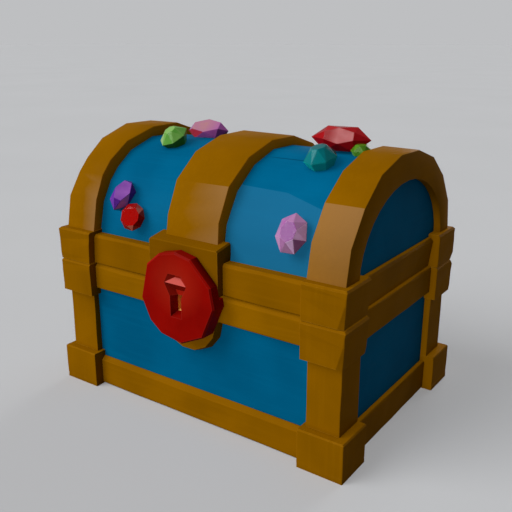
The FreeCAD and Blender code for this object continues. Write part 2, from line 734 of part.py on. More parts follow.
def make_hinges():
    lid_half = LID_KNUCKLE_LENGTH / 2
    hinge_half = HINGE_WIDTH / 2
    base_leaves = []
    lid_leaves = []
    pins = []
    base_holes = [screw(place, SEATED_CLEARANCE) for place in base_hinge_screw_places()]
    lid_holes = [screw(place, SEATED_CLEARANCE) for place in lid_hinge_screw_places()]
    for x in hinge_centres():
        outer = [
            (x - hinge_half, x - lid_half - MOVING_GAP),
            (x + lid_half + MOVING_GAP, x + hinge_half),
        ]
        inner = [(x - lid_half, x + lid_half)]
        base_leaves.append(hinge_leaf(outer, x - hinge_half, x + hinge_half, -1).cut(base_holes))
        lid_leaves.append(hinge_leaf(inner, x - hinge_half, x + hinge_half, 1).cut(lid_holes))
        pin = cylinder_x(HINGE_PIN_RADIUS, x - hinge_half, x + hinge_half, hinge_y, parting_z)
        left_head = cylinder_x(
            PIN_HEAD_RADIUS, x - hinge_half - PIN_HEAD_LENGTH, x - hinge_half, hinge_y, parting_z
        )
        right_head = cylinder_x(
            PIN_HEAD_RADIUS, x + hinge_half, x + hinge_half + PIN_HEAD_LENGTH, hinge_y, parting_z
        )
        pins.append(pin.fuse([left_head, right_head]))
    save("base_hinge_leaves", *base_leaves)
    save("lid_hinge_leaves", *lid_leaves)
    save("hinge_pins", *pins)
    lid_places = lid_hinge_screw_places() + keeper_screw_places()
    save("base_screws", *[screw(place, 0.0) for place in base_hinge_screw_places()])
    save("lid_screws", *[screw(place, 0.0) for place in lid_places])


# Gems: cut stones bedded on the staves, each with its back shaped to the vault
def gem_ring(sides, half_length, half_width, height, turn):
    ring = []
    for step in range(sides):
        angle = 2 * math.pi * (step + turn) / sides
        ring.append(FreeCAD.Vector(half_length * math.cos(angle), half_width * math.sin(angle), height))
    return ring


def cut_stone(sides, length, width, crown, pavilion, table):
    """A stone with a girdle at height zero: triangles up to the table, flat sides down to the culet."""
    girdle = gem_ring(sides, length / 2, width / 2, 0.0, 0.0)
    top = gem_ring(sides, table * length / 2, table * width / 2, crown, 0.5)
    bottom = gem_ring(sides, CULET_SHARE * length / 2, CULET_SHARE * width / 2, -pavilion, 0.0)
    outlines = [top, bottom]
    for i in range(sides):
        after = (i + 1) % sides
        outlines.append([girdle[i], girdle[after], top[i]])
        outlines.append([top[i], girdle[after], top[after]])
        outlines.append([girdle[i], bottom[i], bottom[after], girdle[after]])
    return polyhedron(outlines)


def bay_middle(bay):
    """The middle of the bare staves between the middle band and one end band."""
    near = MIDDLE_BAND_WIDTH / 2
    far = case_x + END_BAND_PROUD
    if bay == "left":
        return -(near + far - LEFT_BAND_WIDTH) / 2
    return (near + far - RIGHT_BAND_WIDTH) / 2


def place_stone(stone, bay, along, round_angle, lift, lean, roll, spin):
    """Stand a stone on the vault: along the lid, round its arch from the front, then tilted."""
    angle = math.radians(round_angle)
    foot = FreeCAD.Vector(
        bay_middle(bay) + along, -vault_y * math.cos(angle), lid_rim_top + VAULT_RISE * math.sin(angle)
    )
    slope = math.degrees(math.atan2(VAULT_RISE * math.cos(angle), vault_y * math.sin(angle)))
    normal = FreeCAD.Rotation(FreeCAD.Vector(1, 0, 0), slope).multVec(FreeCAD.Vector(0, 0, 1))
    turn = FreeCAD.Rotation(FreeCAD.Vector(1, 0, 0), slope + lean)
    turn = turn.multiply(FreeCAD.Rotation(FreeCAD.Vector(0, 1, 0), roll))
    turn = turn.multiply(FreeCAD.Rotation(FreeCAD.Vector(0, 0, 1), spin))
    placed = stone.copy()
    placed.Placement = FreeCAD.Placement(foot + normal * lift, turn)
    return placed


def make_gems():
    cut_names = ("sides", "length", "width", "crown", "pavilion", "table")
    lid_rim = cuboid(-foot_x, foot_x, -foot_y, foot_y, 0.0, lid_rim_top)
    occupied = [vault_core(), lid_rim, *bands().values()]
    for name, gem in GEMS.items():
        cut = {key: value for key, value in gem.items() if key in cut_names}
        place = {key: value for key, value in gem.items() if key not in cut_names}
        stone = place_stone(cut_stone(**cut), **place)
        save("gem_" + name, stone.cut(occupied))
        occupied.append(stone)


os.makedirs("parts", exist_ok=True)
make_case()
make_corners()
make_rails()
make_staves()
make_bands()
make_lock_front()
make_medallion()
make_lock_barrel()
make_lock_core()
make_keeper()
make_hinges()
make_gems()
print("nodes", len(os.listdir("parts")), "frame shift", FRAME_SHIFT)
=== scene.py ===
# %% [markdown]
# # A painted treasure chest, one piece at a time
# The chest arrives as a set of solid nodes, each already at its true size and place, in metres.
# This lesson dresses them: it gives the wooden frame hand-worked surfaces, paints the boards, polishes
# the stones, and then lights the chest like a small studio photograph.

# %% Load the fixed frame
import math

import bpy
import numpy as np
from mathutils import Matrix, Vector


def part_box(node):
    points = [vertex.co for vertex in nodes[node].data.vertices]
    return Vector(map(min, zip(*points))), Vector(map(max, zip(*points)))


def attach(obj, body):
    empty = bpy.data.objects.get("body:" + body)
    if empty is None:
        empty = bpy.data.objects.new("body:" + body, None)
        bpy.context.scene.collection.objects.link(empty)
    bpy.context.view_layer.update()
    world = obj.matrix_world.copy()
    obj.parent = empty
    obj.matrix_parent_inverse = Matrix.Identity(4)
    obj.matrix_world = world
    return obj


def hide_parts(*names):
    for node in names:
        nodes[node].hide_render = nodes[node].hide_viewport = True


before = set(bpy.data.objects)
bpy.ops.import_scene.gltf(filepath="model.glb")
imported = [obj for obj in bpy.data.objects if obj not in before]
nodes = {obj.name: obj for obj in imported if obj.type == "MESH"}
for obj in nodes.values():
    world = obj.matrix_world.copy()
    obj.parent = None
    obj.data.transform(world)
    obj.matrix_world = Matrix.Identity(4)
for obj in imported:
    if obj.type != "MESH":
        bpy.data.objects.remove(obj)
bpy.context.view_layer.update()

# %% [markdown]
# ## Camera
# The photograph looks down on the chest from the right of its front. An object can be framed by eye,
# but here the eye point comes from working back from the chest's own right angles, so the same edges
# fall on the same places in the picture.

# %% Set up the camera
EYE = (0.22925, -0.32348, 0.20745)
AIM = (-0.00069, 0.002485, 0.08106)
FIELD_OF_VIEW = 41.12
NEAREST = 0.01

camera = bpy.data.objects.new("camera", bpy.data.cameras.new("camera"))
bpy.context.scene.collection.objects.link(camera)
camera.location = EYE
camera.rotation_mode = "QUATERNION"
camera.rotation_quaternion = (Vector(AIM) - Vector(EYE)).to_track_quat("-Z", "Y")
camera.data.sensor_fit = "HORIZONTAL"
camera.data.angle = math.radians(FIELD_OF_VIEW)
camera.data.clip_start = NEAREST
bpy.context.scene.camera = camera
print("camera", [round(v, 3) for v in camera.location])

# %% [markdown]
# ## Nodes in one line
# A material is a small graph. Building it by hand in the editor is easy to see but hard to repeat, so
# these helpers add a node, set its options, and either join or set each input.


# %% Helpers for any node graph
def add(tree, kind, options=None, inputs=None):
    """Add a shader node. Options are its own settings; inputs are sockets to join or values to set."""
    made = tree.nodes.new("ShaderNode" + kind)
    for key, value in (options or {}).items():
        setattr(made, key, value)
    for key, value in (inputs or {}).items():
        if isinstance(value, bpy.types.NodeSocket):
            tree.links.new(value, made.inputs[key])
        else:
            made.inputs[key].default_value = value
    return made


def math_node(tree, operation, a, b=0.0):
    """One arithmetic step between two sockets or numbers."""
    return add(tree, "Math", {"operation": operation}, {0: a, 1: b}).outputs[0]


def times(tree, a, b):
    """The product of two sockets or numbers."""
    return math_node(tree, "MULTIPLY", a, b)


def dot(tree, a, b):
    """The dot product of two directions: 1 where they agree, 0 at a right angle."""
    return add(tree, "VectorMath", {"operation": "DOT_PRODUCT"}, {0: a, 1: b}).outputs["Value"]


def axes(tree, vector):
    """The X, Y and Z parts of a vector."""
    return add(tree, "SeparateXYZ", inputs={0: vector}).outputs


def blend_colours(tree, share, a, b):
    """Two colours mixed by a share from 0 to 1."""
    return add(tree, "Mix", {"data_type": "RGBA"}, {0: share, 6: a, 7: b}).outputs[2]


def rescale(tree, value, low, high, new_low=0.0, new_high=1.0):
    """A value between low and high, stretched to a new range and held inside it."""
    ends = {0: value, 1: low, 2: high, 3: new_low, 4: new_high}
    return add(tree, "MapRange", {"clamp": True}, ends).outputs[0]


print("graph helpers ready")


# %% Helpers for materials
def shown(red, green, blue):
    """A colour as it shows on screen, 0 to 255, turned into the linear values that nodes use."""
    values = np.array([red, green, blue]) / 255.0
    linear = np.where(values <= 0.04045, values / 12.92, ((values + 0.055) / 1.055) ** 2.4)
    return (*linear.tolist(), 1.0)


def new_material(name):
    """An empty material with a principled shader and the object's own coordinates."""
    material = bpy.data.materials.new(name)
    material.use_nodes = True
    tree = material.node_tree
    tree.nodes.clear()
    shader = add(tree, "BsdfPrincipled")
    add(tree, "OutputMaterial", inputs={"Surface": shader.outputs[0]})
    place = add(tree, "TexCoord").outputs["Object"]
    return material, tree, shader, place


def facing(tree):
    """The direction that a face looks in, in the object's own axes."""
    return add(tree, "TexCoord").outputs["Normal"]


def cloud(tree, place, scale, detail=3.0, stretch=(1.0, 1.0, 1.0)):
    """Soft noise from 0 to 1; a stretch below one draws it out along that axis."""
    moved = add(tree, "Mapping", inputs={"Vector": place, "Scale": stretch}).outputs[0]
    noise = add(tree, "TexNoise", inputs={"Vector": moved, "Scale": scale, "Detail": detail})
    return noise.outputs["Fac"]


def relief(tree, shader, height, strength, depth):
    """Tilt the shading as if the surface rose and fell with a height, by at most a depth in metres."""
    bump = add(tree, "Bump", inputs={"Strength": strength, "Distance": depth, "Height": height})
    tree.links.new(bump.outputs[0], shader.inputs["Normal"])


print("material helpers ready")

# %% [markdown]
# ## Studio
# The photograph has an even pale grey behind the chest, a soft key light high on the left and dim
# fill elsewhere. Area lamps would do, but a wide sun gives the same light at any distance, so the floor
# stays one tone. Part of the key light casts no shadow, so the shadow on the floor is faint. A weaker
# sun from behind keeps the hinged side readable when the chest is turned round.

# %% Set the lamps
KEY_DIRECTION = (-0.48, -0.62, 0.62)
KEY_STRENGTH = 4.4
KEY_SPREAD = 45.0
OPEN_SHARE = 0.6
BACK_DIRECTION = (0.0, 0.97, 0.2)
BACK_STRENGTH = 2.0
BACK_SPREAD = 40.0


def sun(name, direction, strength, spread, casts=True):
    """A sun lamp that shines from the given direction, with soft edges to any shadow that it casts."""
    lamp = bpy.data.objects.new(name, bpy.data.lights.new(name, "SUN"))
    bpy.context.scene.collection.objects.link(lamp)
    lamp.rotation_mode = "QUATERNION"
    lamp.rotation_quaternion = Vector(direction).to_track_quat("Z", "Y")
    lamp.data.energy = strength
    lamp.data.angle = math.radians(spread)
    lamp.data.use_shadow = casts


sun("key_sun", KEY_DIRECTION, KEY_STRENGTH * (1.0 - OPEN_SHARE), KEY_SPREAD)
sun("open_sun", KEY_DIRECTION, KEY_STRENGTH * OPEN_SHARE, KEY_SPREAD, casts=False)
sun("back_sun", BACK_DIRECTION, BACK_STRENGTH, BACK_SPREAD)
print("suns", len(bpy.data.lights))

# %% [markdown]
# ## Backdrop and floor
# In the picture both are one pale grey, but as light sources they would wash out the shaded end of the
# chest. A light path node tells what the camera sees from what only fills in, so each can have its own
# tone for the two.

# %% Build the world and the floor
BACKDROP = shown(190, 191, 193)
WHITE = (1.0, 1.0, 1.0, 1.0)
FILL_LEVEL = 0.13
FLOOR_TONE = shown(181, 182, 184)
FLOOR_BOUNCE = shown(118, 119, 120)
FLOOR_REACH = 30.0


def seen_directly(tree):
    """1 for what the camera sees, itself or mirrored or through glass, and 0 for light that fills in."""
    rays = add(tree, "LightPath").outputs
    seen = math_node(tree, "MAXIMUM", rays["Is Camera Ray"], rays["Is Glossy Ray"])
    return math_node(tree, "MAXIMUM", seen, rays["Is Transmission Ray"])


world = bpy.data.worlds.new("studio")
bpy.context.scene.world = world
world.use_nodes = True
sky = world.node_tree
sky.nodes.clear()
fill = add(sky, "Background", inputs={"Color": WHITE, "Strength": FILL_LEVEL})
backdrop = add(sky, "Background", inputs={"Color": BACKDROP, "Strength": 1.0})
sky_mix = add(sky, "MixShader", inputs={0: seen_directly(sky), 1: fill.outputs[0], 2: backdrop.outputs[0]})
add(sky, "OutputWorld", inputs={"Surface": sky_mix.outputs[0]})

floor_mesh = bpy.data.meshes.new("floor")
corners = [(x * FLOOR_REACH, y * FLOOR_REACH, 0.0) for x, y in ((-1, -1), (1, -1), (1, 1), (-1, 1))]
floor_mesh.from_pydata(corners, [], [(0, 1, 2, 3)])
floor = bpy.data.objects.new("floor", floor_mesh)
bpy.context.scene.collection.objects.link(floor)
floor_paint, tree, shader, place = new_material("studio_floor")
speckle = rescale(tree, cloud(tree, place, 3.0), 0.3, 0.7, 0.97, 1.0)
tone = blend_colours(tree, seen_directly(tree), FLOOR_BOUNCE, FLOOR_TONE)
tone = add(tree, "VectorMath", {"operation": "SCALE"}, {0: tone, "Scale": speckle}).outputs[0]
tree.links.new(tone, shader.inputs["Base Color"])
shader.inputs["Roughness"].default_value = 0.9
shader.inputs["Specular IOR Level"].default_value = 0.0
floor_mesh.materials.append(floor_paint)
bpy.context.scene.view_settings.view_transform = "Standard"
print("floor width in m", 2 * FLOOR_REACH)

# %% [markdown]
# ## Measures
# The case is a box and the lid a barrel vault over it: seen from the end, a half ellipse on the level of
# the rim, built from flat boards. Paints and shapes both follow these few sizes, so they are read from the
# nodes once, not typed.

# %% Measure the case and the vault
MM = 0.001
front_low = np.array(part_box("front_panel")[0])
back_high = np.array(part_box("back_panel")[1])
middle_y = (front_low[1] + back_high[1]) / 2
case_half = np.array([back_high[0], back_high[1] - middle_y])
rim_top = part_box("lid_rail_front")[1][2]


def arch_size(node):
    """Half-width and rise of the faceted arch round a node; its highest facet spans 80 to 100 degrees."""
    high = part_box(node)[1]
    return high[1] - middle_y, (high[2] - rim_top) / math.sin(math.radians(80.0))


vault = arch_size("lid_staves")
print("case half sizes in mm", np.round(case_half / MM, 2), "vault in mm", np.round(np.array(vault) / MM, 2))

# %% [markdown]
# ## Signs of use and painted shade
# Plain colour would look like plastic. Real paint is thin on corners that hands touch and split where a
# board has dried, and where pieces meet the colour is darkened as painted shade. All of this could be
# painted by hand onto an image. Here it is worked out from the shape instead: corners by comparing the face
# direction with a rounded one, the painted shade by how much open air a point sees, and the split by its
# angle round the vault.

# %% Find corners, painted shade and the split
# Half-width in radians; it fades in on its left and out on its right, in metres along the lid.
SPLIT_ANGLE = math.radians(71.0)
SPLIT_WIDTH = (0.007, 0.003)
SPLIT_LEFT = (0.021, 0.027)
SPLIT_RIGHT = (0.054, 0.046)


def worn_edges(tree, radius):
    """A share that rises from 0 on flat faces to 1 on sharp outer corners."""
    rounded = add(tree, "Bevel", {"samples": 6}, {"Radius": radius}).outputs[0]
    straight = add(tree, "NewGeometry").outputs["Normal"]
    return rescale(tree, dot(tree, rounded, straight), 0.995, 0.86)


def corner_shade(tree, reach):
    """A share that rises from 0 in the open to 1 in tight inner corners, where the colour is darkened as
    painted shade.
    """
    air = add(tree, "AmbientOcclusion", {"samples": 8}, {"Distance": reach}).outputs["AO"]
    return rescale(tree, air, 0.75, 0.15)


def split_board(tree, place):
    """1 along a thin split in one board of the lid. A point's angle round the vault is the arc tangent of
    its height over the rise and its distance in front of the middle over the half-width."""
    x, y, z = axes(tree, place)
    up = math_node(tree, "DIVIDE", math_node(tree, "SUBTRACT", z, rim_top), vault[1])
    forward = math_node(tree, "DIVIDE", math_node(tree, "SUBTRACT", middle_y, y), vault[0])
    angle = math_node(tree, "ARCTAN2", up, forward)
    off = math_node(tree, "ABSOLUTE", math_node(tree, "SUBTRACT", angle, SPLIT_ANGLE))
    reach = times(tree, rescale(tree, x, *SPLIT_LEFT), rescale(tree, x, *SPLIT_RIGHT))
    return times(tree, rescale(tree, off, *SPLIT_WIDTH), reach)


print("split at", round(math.degrees(SPLIT_ANGLE)), "degrees round the vault")

# %% [markdown]
# ## Bare wood inside
# The inside of the chest was never painted. A second material on the inner faces would need a cut in the
# mesh, so one material asks each point whether it lies inside the box of the case or under the vault.

# %% Tell the inside from the outside
BARE_HALF_LENGTH = 0.0871
BARE_HALF_DEPTH = 0.0563
BARE_TOP = 0.0979
bare_vault = (vault[0] - 2.0 * MM, vault[1] - 2.0 * MM)


def inside_chest(tree, place):
    """1 inside and 0 outside. Inside is the box of the case up to the rim, and above it the half ellipse
    where depth over half-width squared plus height over rise squared is below 1."""
    x, y, z = axes(tree, place)
    across = math_node(tree, "ABSOLUTE", math_node(tree, "SUBTRACT", y, middle_y))
    above = math_node(tree, "SUBTRACT", z, rim_top)
    in_length = math_node(tree, "LESS_THAN", math_node(tree, "ABSOLUTE", x), BARE_HALF_LENGTH)
    in_depth = math_node(tree, "LESS_THAN", across, BARE_HALF_DEPTH)
    in_case = times(tree, in_depth, math_node(tree, "LESS_THAN", z, BARE_TOP))
    y_share = math_node(tree, "POWER", math_node(tree, "DIVIDE", across, bare_vault[0]), 2.0)
    z_share = math_node(tree, "POWER", math_node(tree, "DIVIDE", above, bare_vault[1]), 2.0)
    in_vault = math_node(tree, "LESS_THAN", math_node(tree, "ADD", y_share, z_share), 1.0)
    return times(tree, in_length, math_node(tree, "MAXIMUM", in_case, in_vault))


def wood_colour(tree, place, grain):
    """Sanded wood: long growth lines with the grain over a pale ground."""
    lines = cloud(tree, place, 260.0, 5.0, grain)
    figure = cloud(tree, place, 40.0, 2.0, grain)
    colour = blend_colours(tree, figure, shown(166, 126, 80), shown(138, 98, 58))
    return blend_colours(tree, rescale(tree, lines, 0.45, 0.75, 0.0, 0.6), colour, shown(104, 70, 38))


print("bare under the vault in mm", np.round(np.array(bare_vault) / MM, 1))

# %% [markdown]
# ## Painted wood
# The frame is carved wood under an ochre gold paint, the boards are blue. Brush paint has broad tone
# changes and fine streaks along the grain. A wood texture could give the streaks, but a noise drawn out
# along one axis does the same for any direction. Faces that look up are darkened as painted shade. On the
# vault, a stored amount sets a painted highlight, and the sides of the bands that look right are painted
# lighter.

# %% Brush the paint
# How far from the middle the sides of the bands that look right get painted light.
LIT_SIDE_REACH = 0.08


def arch_light_and_wear(tree, place, colour, tones):
    """Vault and bands: a painted highlight by a stored amount, the split, and painted light on sides that
    look right.
    """
    # Painted highlight: a pale beige tone by the stored amount.
    sheen = add(tree, "Attribute", {"attribute_name": "sheen"}).outputs["Fac"]
    colour = blend_colours(tree, rescale(tree, sheen, 0.0, 1.0, 0.0, 0.85), colour, tones["sheen"])
    colour = blend_colours(tree, times(tree, split_board(tree, place), 0.8), colour, tones["shade_and_crack"])
    # Painted light: sides of the bands that look right, near the middle, are painted paler.
    from_middle = math_node(tree, "ABSOLUTE", axes(tree, place)[0])
    looks_right = rescale(tree, axes(tree, facing(tree))[0], 0.6, 0.8)
    lit_side = times(tree, looks_right, math_node(tree, "LESS_THAN", from_middle, LIT_SIDE_REACH))
    return blend_colours(tree, lit_side, colour, tones["cut"])


def brush_paint(name, tones, grain, roughness, arched=False):
    """Brushed paint on wood: dark, middle and light tone, grain as a stretch of the noise."""
    material, tree, shader, place = new_material(name)
    broad = cloud(tree, place, 28.0, 2.0)
    streaks = cloud(tree, place, 420.0, 4.0, grain)
    hewn = cloud(tree, place, 75.0, 1.0)
    colour = blend_colours(tree, rescale(tree, broad, 0.35, 0.68), tones["middle"], tones["deep"])
    colour = blend_colours(tree, rescale(tree, streaks, 0.5, 0.85, 0.0, 0.35), colour, tones["light"])
    chips = times(tree, worn_edges(tree, 0.7 * MM), rescale(tree, streaks, 0.3, 0.65, 0.05, 0.6))
    colour = blend_colours(tree, chips, colour, tones["worn"])
    # Painted shade: the colour darkens in tight inner corners.
    colour = blend_colours(tree, times(tree, corner_shade(tree, 6.0 * MM), 0.45), colour, tones["shade_and_crack"])
    # Painted shade: faces that look up are darkened towards a dimmer tone.
    most = tones["arch_top_shade" if arched else "top_shade"]
    top_shade = rescale(tree, axes(tree, facing(tree))[2], 0.3, 0.75, 0.0, most)
    colour = blend_colours(tree, top_shade, colour, tones["dim"])
    if arched:
        colour = arch_light_and_wear(tree, place, colour, tones)
    bare = inside_chest(tree, place)
    colour = blend_colours(tree, bare, colour, wood_colour(tree, place, grain))
    tree.links.new(colour, shader.inputs["Base Color"])
    satin = rescale(tree, streaks, 0.2, 0.8, roughness - 0.07, roughness + 0.09)
    satin = math_node(tree, "ADD", satin, times(tree, bare, 0.25))
    tree.links.new(satin, shader.inputs["Roughness"])
    relief(tree, shader, math_node(tree, "ADD", times(tree, streaks, 0.35), hewn), 0.35, 0.6 * MM)
    shader.inputs["Specular IOR Level"].default_value = 0.002
    return material


# Reach within which band sides that look right are painted lighter, as painted light.
print("band sides painted lighter within", LIT_SIDE_REACH, "m of the middle")

# %% Mix the gold and the blue
GRAINS = {"along_x": (0.05, 1.0, 1.0), "along_y": (1.0, 0.05, 1.0), "along_z": (1.0, 1.0, 0.05)}
GOLD_ROUGH = 0.4
BLUE_ROUGH = 0.38
# Besides base tones, these paints carry painted light: a dimmer tone darkens faces that look up as painted
# shade, by a share given for flat and arched pieces; a pale beige tone is a painted highlight on the arch; a
# paler tone is painted light on band sides that look right; and the darkest tone is painted shade in corners
# as well as the dark of the split.
GOLD = {
    "deep": shown(118, 76, 0), "middle": shown(130, 84, 0), "light": shown(140, 92, 2),
    "worn": shown(160, 112, 36), "shade_and_crack": shown(52, 32, 2), "dim": shown(108, 69, 0),
    "sheen": shown(144, 106, 64), "cut": shown(188, 115, 10), "top_shade": 0.4, "arch_top_shade": 0.3,
}
# Copies of the gold: painted lighter for the rim rails as painted light, darker for the lock block as painted
# shade.
RIM_GOLD_PAINTED_LIGHTER = GOLD | {"deep": shown(126, 82, 0), "middle": shown(139, 91, 0), "light": shown(148, 98, 2)}
LOCK_GOLD_PAINTED_DARKER = GOLD | {"deep": shown(102, 65, 0), "middle": shown(114, 73, 0), "light": shown(124, 81, 1)}
BLUE = {
    "deep": shown(0, 80, 115), "middle": shown(0, 88, 125), "light": shown(4, 96, 134),
    "worn": shown(34, 112, 148), "shade_and_crack": shown(0, 34, 52), "dim": shown(0, 76, 110),
    "sheen": shown(26, 98, 134), "cut": shown(0, 88, 125), "top_shade": 0.3, "arch_top_shade": 0.0,
}
gold, blue = {}, {}
for way, stretch in GRAINS.items():
    gold[way] = brush_paint("gold_" + way, GOLD, stretch, GOLD_ROUGH)
    blue[way] = brush_paint("blue_" + way, BLUE, stretch, BLUE_ROUGH)
gold["rim"] = brush_paint("gold_rim", RIM_GOLD_PAINTED_LIGHTER, GRAINS["along_x"], GOLD_ROUGH)
gold["lock"] = brush_paint("gold_lock_painted_darker", LOCK_GOLD_PAINTED_DARKER, GRAINS["along_x"], GOLD_ROUGH)
gold["over_arch"] = brush_paint("gold_over_arch", GOLD, GRAINS["along_y"], GOLD_ROUGH, arched=True)
blue["over_arch"] = brush_paint("blue_over_arch", BLUE, GRAINS["along_x"], BLUE_ROUGH, arched=True)
print("paints", len(gold) + len(blue))

# %% [markdown]
# ## Red lacquer
# The medallion is lacquered and smoother than the frame. Its keyhole opens below a sloped ramp that
# catches the light, and a painted highlight makes the ramp pale and the lacquer round it lighter. The ramp
# could get a material of its own, but it is one face of the same piece, so it is found by its direction and
# by how near it lies to a point on the ramp. Faces that look up get painted shade, and the keyhole's back is
# painted bright gold for the plate seen through the shaded slot.

# %% Lacquer the medallion
RAMP_RISE = 5.0 * MM
KEYHOLE_HALF_WIDTH = 4.5 * MM
KEYHOLE_BACK = 3.0 * MM


def lacquer(name, deep, middle, light, ramp_point, back):
    """Satin lacquer with slow tone changes and a faint ripple. It is worn lighter on its edges. A painted
    highlight makes it lighter red round the keyhole's ramp and pale on the ramp itself, painted shade makes
    it dark on faces that look up and in tight corners, and the keyhole's back is painted a bright gold that
    stands for the plate behind, made bright against the shade in the slot."""
    material, tree, shader, place = new_material(name)
    x, y, _ = axes(tree, place)
    looks_up = axes(tree, facing(tree))[2]
    from_ramp = add(tree, "VectorMath", {"operation": "DISTANCE"}, {0: place, 1: ramp_point}).outputs["Value"]
    colour = blend_colours(tree, rescale(tree, cloud(tree, place, 45.0), 0.35, 0.7), middle, deep)
    colour = blend_colours(tree, times(tree, worn_edges(tree, 0.8 * MM), 0.2), colour, light)
    # Painted highlight: a lighter red round the keyhole's ramp.
    warm_highlight = rescale(tree, from_ramp, 20.0 * MM, 6.0 * MM, 0.0, 0.4)
    colour = blend_colours(tree, warm_highlight, colour, shown(158, 40, 22))
    # Painted shade: faces that look up are darker.
    colour = blend_colours(tree, rescale(tree, looks_up, 0.6, 0.7, 0.0, 0.45), colour, shown(96, 4, 2))
    # Painted highlight: the ramp itself is pale.
    ramp_highlight = rescale(tree, from_ramp, 7.8 * MM, 6.5 * MM, 0.0, 0.85)
    colour = blend_colours(tree, times(tree, rescale(tree, looks_up, 0.46, 0.5), ramp_highlight), colour, light)
    # The keyhole's back is painted bright gold: the plate behind, made bright against the shade in the slot.
    in_hole = math_node(tree, "LESS_THAN", math_node(tree, "ABSOLUTE", x), KEYHOLE_HALF_WIDTH)
    in_hole = times(tree, in_hole, math_node(tree, "GREATER_THAN", y, back - KEYHOLE_BACK))
    colour = blend_colours(tree, in_hole, colour, shown(236, 178, 96))
    # Painted shade: the lacquer darkens in tight inner corners.
    colour = blend_colours(tree, times(tree, corner_shade(tree, 5.0 * MM), 0.5), colour, shown(40, 2, 2))
    tree.links.new(colour, shader.inputs["Base Color"])
    ripple = cloud(tree, place, 160.0, 2.0)
    tree.links.new(rescale(tree, ripple, 0.3, 0.7, 0.24, 0.34), shader.inputs["Roughness"])
    relief(tree, shader, ripple, 0.2, 0.3 * MM)
    shader.inputs["Specular IOR Level"].default_value = 0.01
    return material


medal_low, medal_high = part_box("lock_medallion")
ramp = (0.0, medal_low[1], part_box("rim_rail_front")[1][2] + RAMP_RISE)
reds = (shown(122, 6, 2), shown(140, 9, 3), shown(184, 80, 72))
red_lacquer = lacquer("red_lacquer", *reds, ramp, medal_high[1])
print("ramp in mm", [round(v / MM, 1) for v in ramp])

# %% [markdown]
# ## Metal and bare board
# Hinges, lock and keeper are brass, with darker screws and steel pins. New metal would mirror the studio,
# so tarnish in patches and fine scratches take the mirror off. The floor board is plain sanded wood.


# %% Mix the metals and the bare board
def metal(name, tone, tarnish, roughness):
    """Worn metal with fine scratches along X and patches of darker tarnish."""
    material, tree, shader, place = new_material(name)
    dull = rescale(tree, cloud(tree, place, 190.0), 0.4, 0.75)
    tree.links.new(blend_colours(tree, dull, tone, tarnish), shader.inputs["Base Color"])
    scratches = cloud(tree, place, 900.0, 3.0, (0.06, 1.0, 1.0))
    rough = rescale(tree, scratches, 0.3, 0.7, roughness - 0.08, roughness + 0.1)
    tree.links.new(rough, shader.inputs["Roughness"])
    relief(tree, shader, scratches, 0.15, 0.2 * MM)
    shader.inputs["Metallic"].default_value = 1.0
    return material


def bare_wood(name):
    """Sanded board with its growth lines along X."""
    material, tree, shader, place = new_material(name)
    tree.links.new(wood_colour(tree, place, GRAINS["along_x"]), shader.inputs["Base Color"])
    lines = cloud(tree, place, 260.0, 5.0, GRAINS["along_x"])
    tree.links.new(rescale(tree, lines, 0.2, 0.8, 0.55, 0.75), shader.inputs["Roughness"])
    relief(tree, shader, lines, 0.2, 0.3 * MM)
    return material


brass = metal("brass", shown(196, 156, 84), shown(140, 100, 44), 0.34)
dark_brass = metal("dark_brass", shown(138, 102, 50), shown(96, 68, 30), 0.4)
steel = metal("steel", shown(170, 170, 172), shown(110, 108, 106), 0.38)
board = bare_wood("bare_board")
print("finishes", [paint.name for paint in (brass, dark_brass, steel, board)])

# %% [markdown]
# ## Cut stones
# Each facet of a cut stone shows its own tone, because each bends light from another place. Clear glass
# would do the same in a bright room, but against this plain backdrop it only turns dark. So a noise read
# from the direction that a facet faces gives every flat its own tone, a painted reflection, and a few flats
# that flash in the photograph get a pale one, a painted highlight.

# %% Choose the tones of the stones
# Forward tilt and sideways roll in degrees, then the painted reflection tones of table, crown, shaded crown
# and keel.
STONES = {
    "gem_ruby": (64, 9, shown(178, 100, 100), shown(156, 12, 18), shown(116, 4, 12), shown(92, 2, 12)),
    "gem_red": (70, 18, shown(168, 4, 0), shown(136, 4, 4), shown(152, 22, 16), shown(84, 4, 22)),
    "gem_teal": (14, -6, shown(0, 84, 86), shown(0, 110, 114), shown(0, 94, 100), shown(20, 180, 170)),
    "gem_lime": (2, 0, shown(84, 124, 30), shown(74, 118, 24), shown(58, 98, 18), shown(96, 156, 44)),
    "gem_green": (32, -8, shown(118, 160, 84), shown(112, 156, 78), shown(76, 138, 48), shown(60, 120, 36)),
    "gem_pink": (62, 8, shown(138, 82, 142), shown(176, 128, 168), shown(150, 92, 146), shown(98, 46, 98)),
    "gem_rose": (36, 6, shown(168, 122, 112), shown(154, 84, 154), shown(124, 58, 118), shown(70, 30, 78)),
    "gem_violet": (34, 30, shown(156, 94, 185), shown(106, 48, 156), shown(80, 32, 134), shown(54, 20, 90)),
}
# Directions of facets that flash, each with the tone of its painted highlight.
LIT_FACETS = {
    "gem_pink": [((0.85, -0.43, 0.28), shown(236, 184, 232)), ((0.48, -0.86, -0.18), shown(226, 182, 228))],
    "gem_red": [((0.75, -0.24, 0.62), shown(180, 98, 88)), ((0.38, -0.78, -0.5), shown(230, 120, 96))],
    "gem_green": [((-0.62, -0.66, 0.42), shown(136, 170, 112))],
    "gem_rose": [((-0.27, -0.95, -0.1), shown(156, 32, 10))],
    "gem_violet": [((0.93, -0.26, -0.27), shown(190, 130, 215))],
}
# Shares of a stone's width between which the table's tone sets in.
PALE_FROM = {"gem_ruby": (0.36, 0.5), "gem_rose": (0.95, 0.5)}
print("stones", len(STONES), "with lit facets", len(LIT_FACETS))


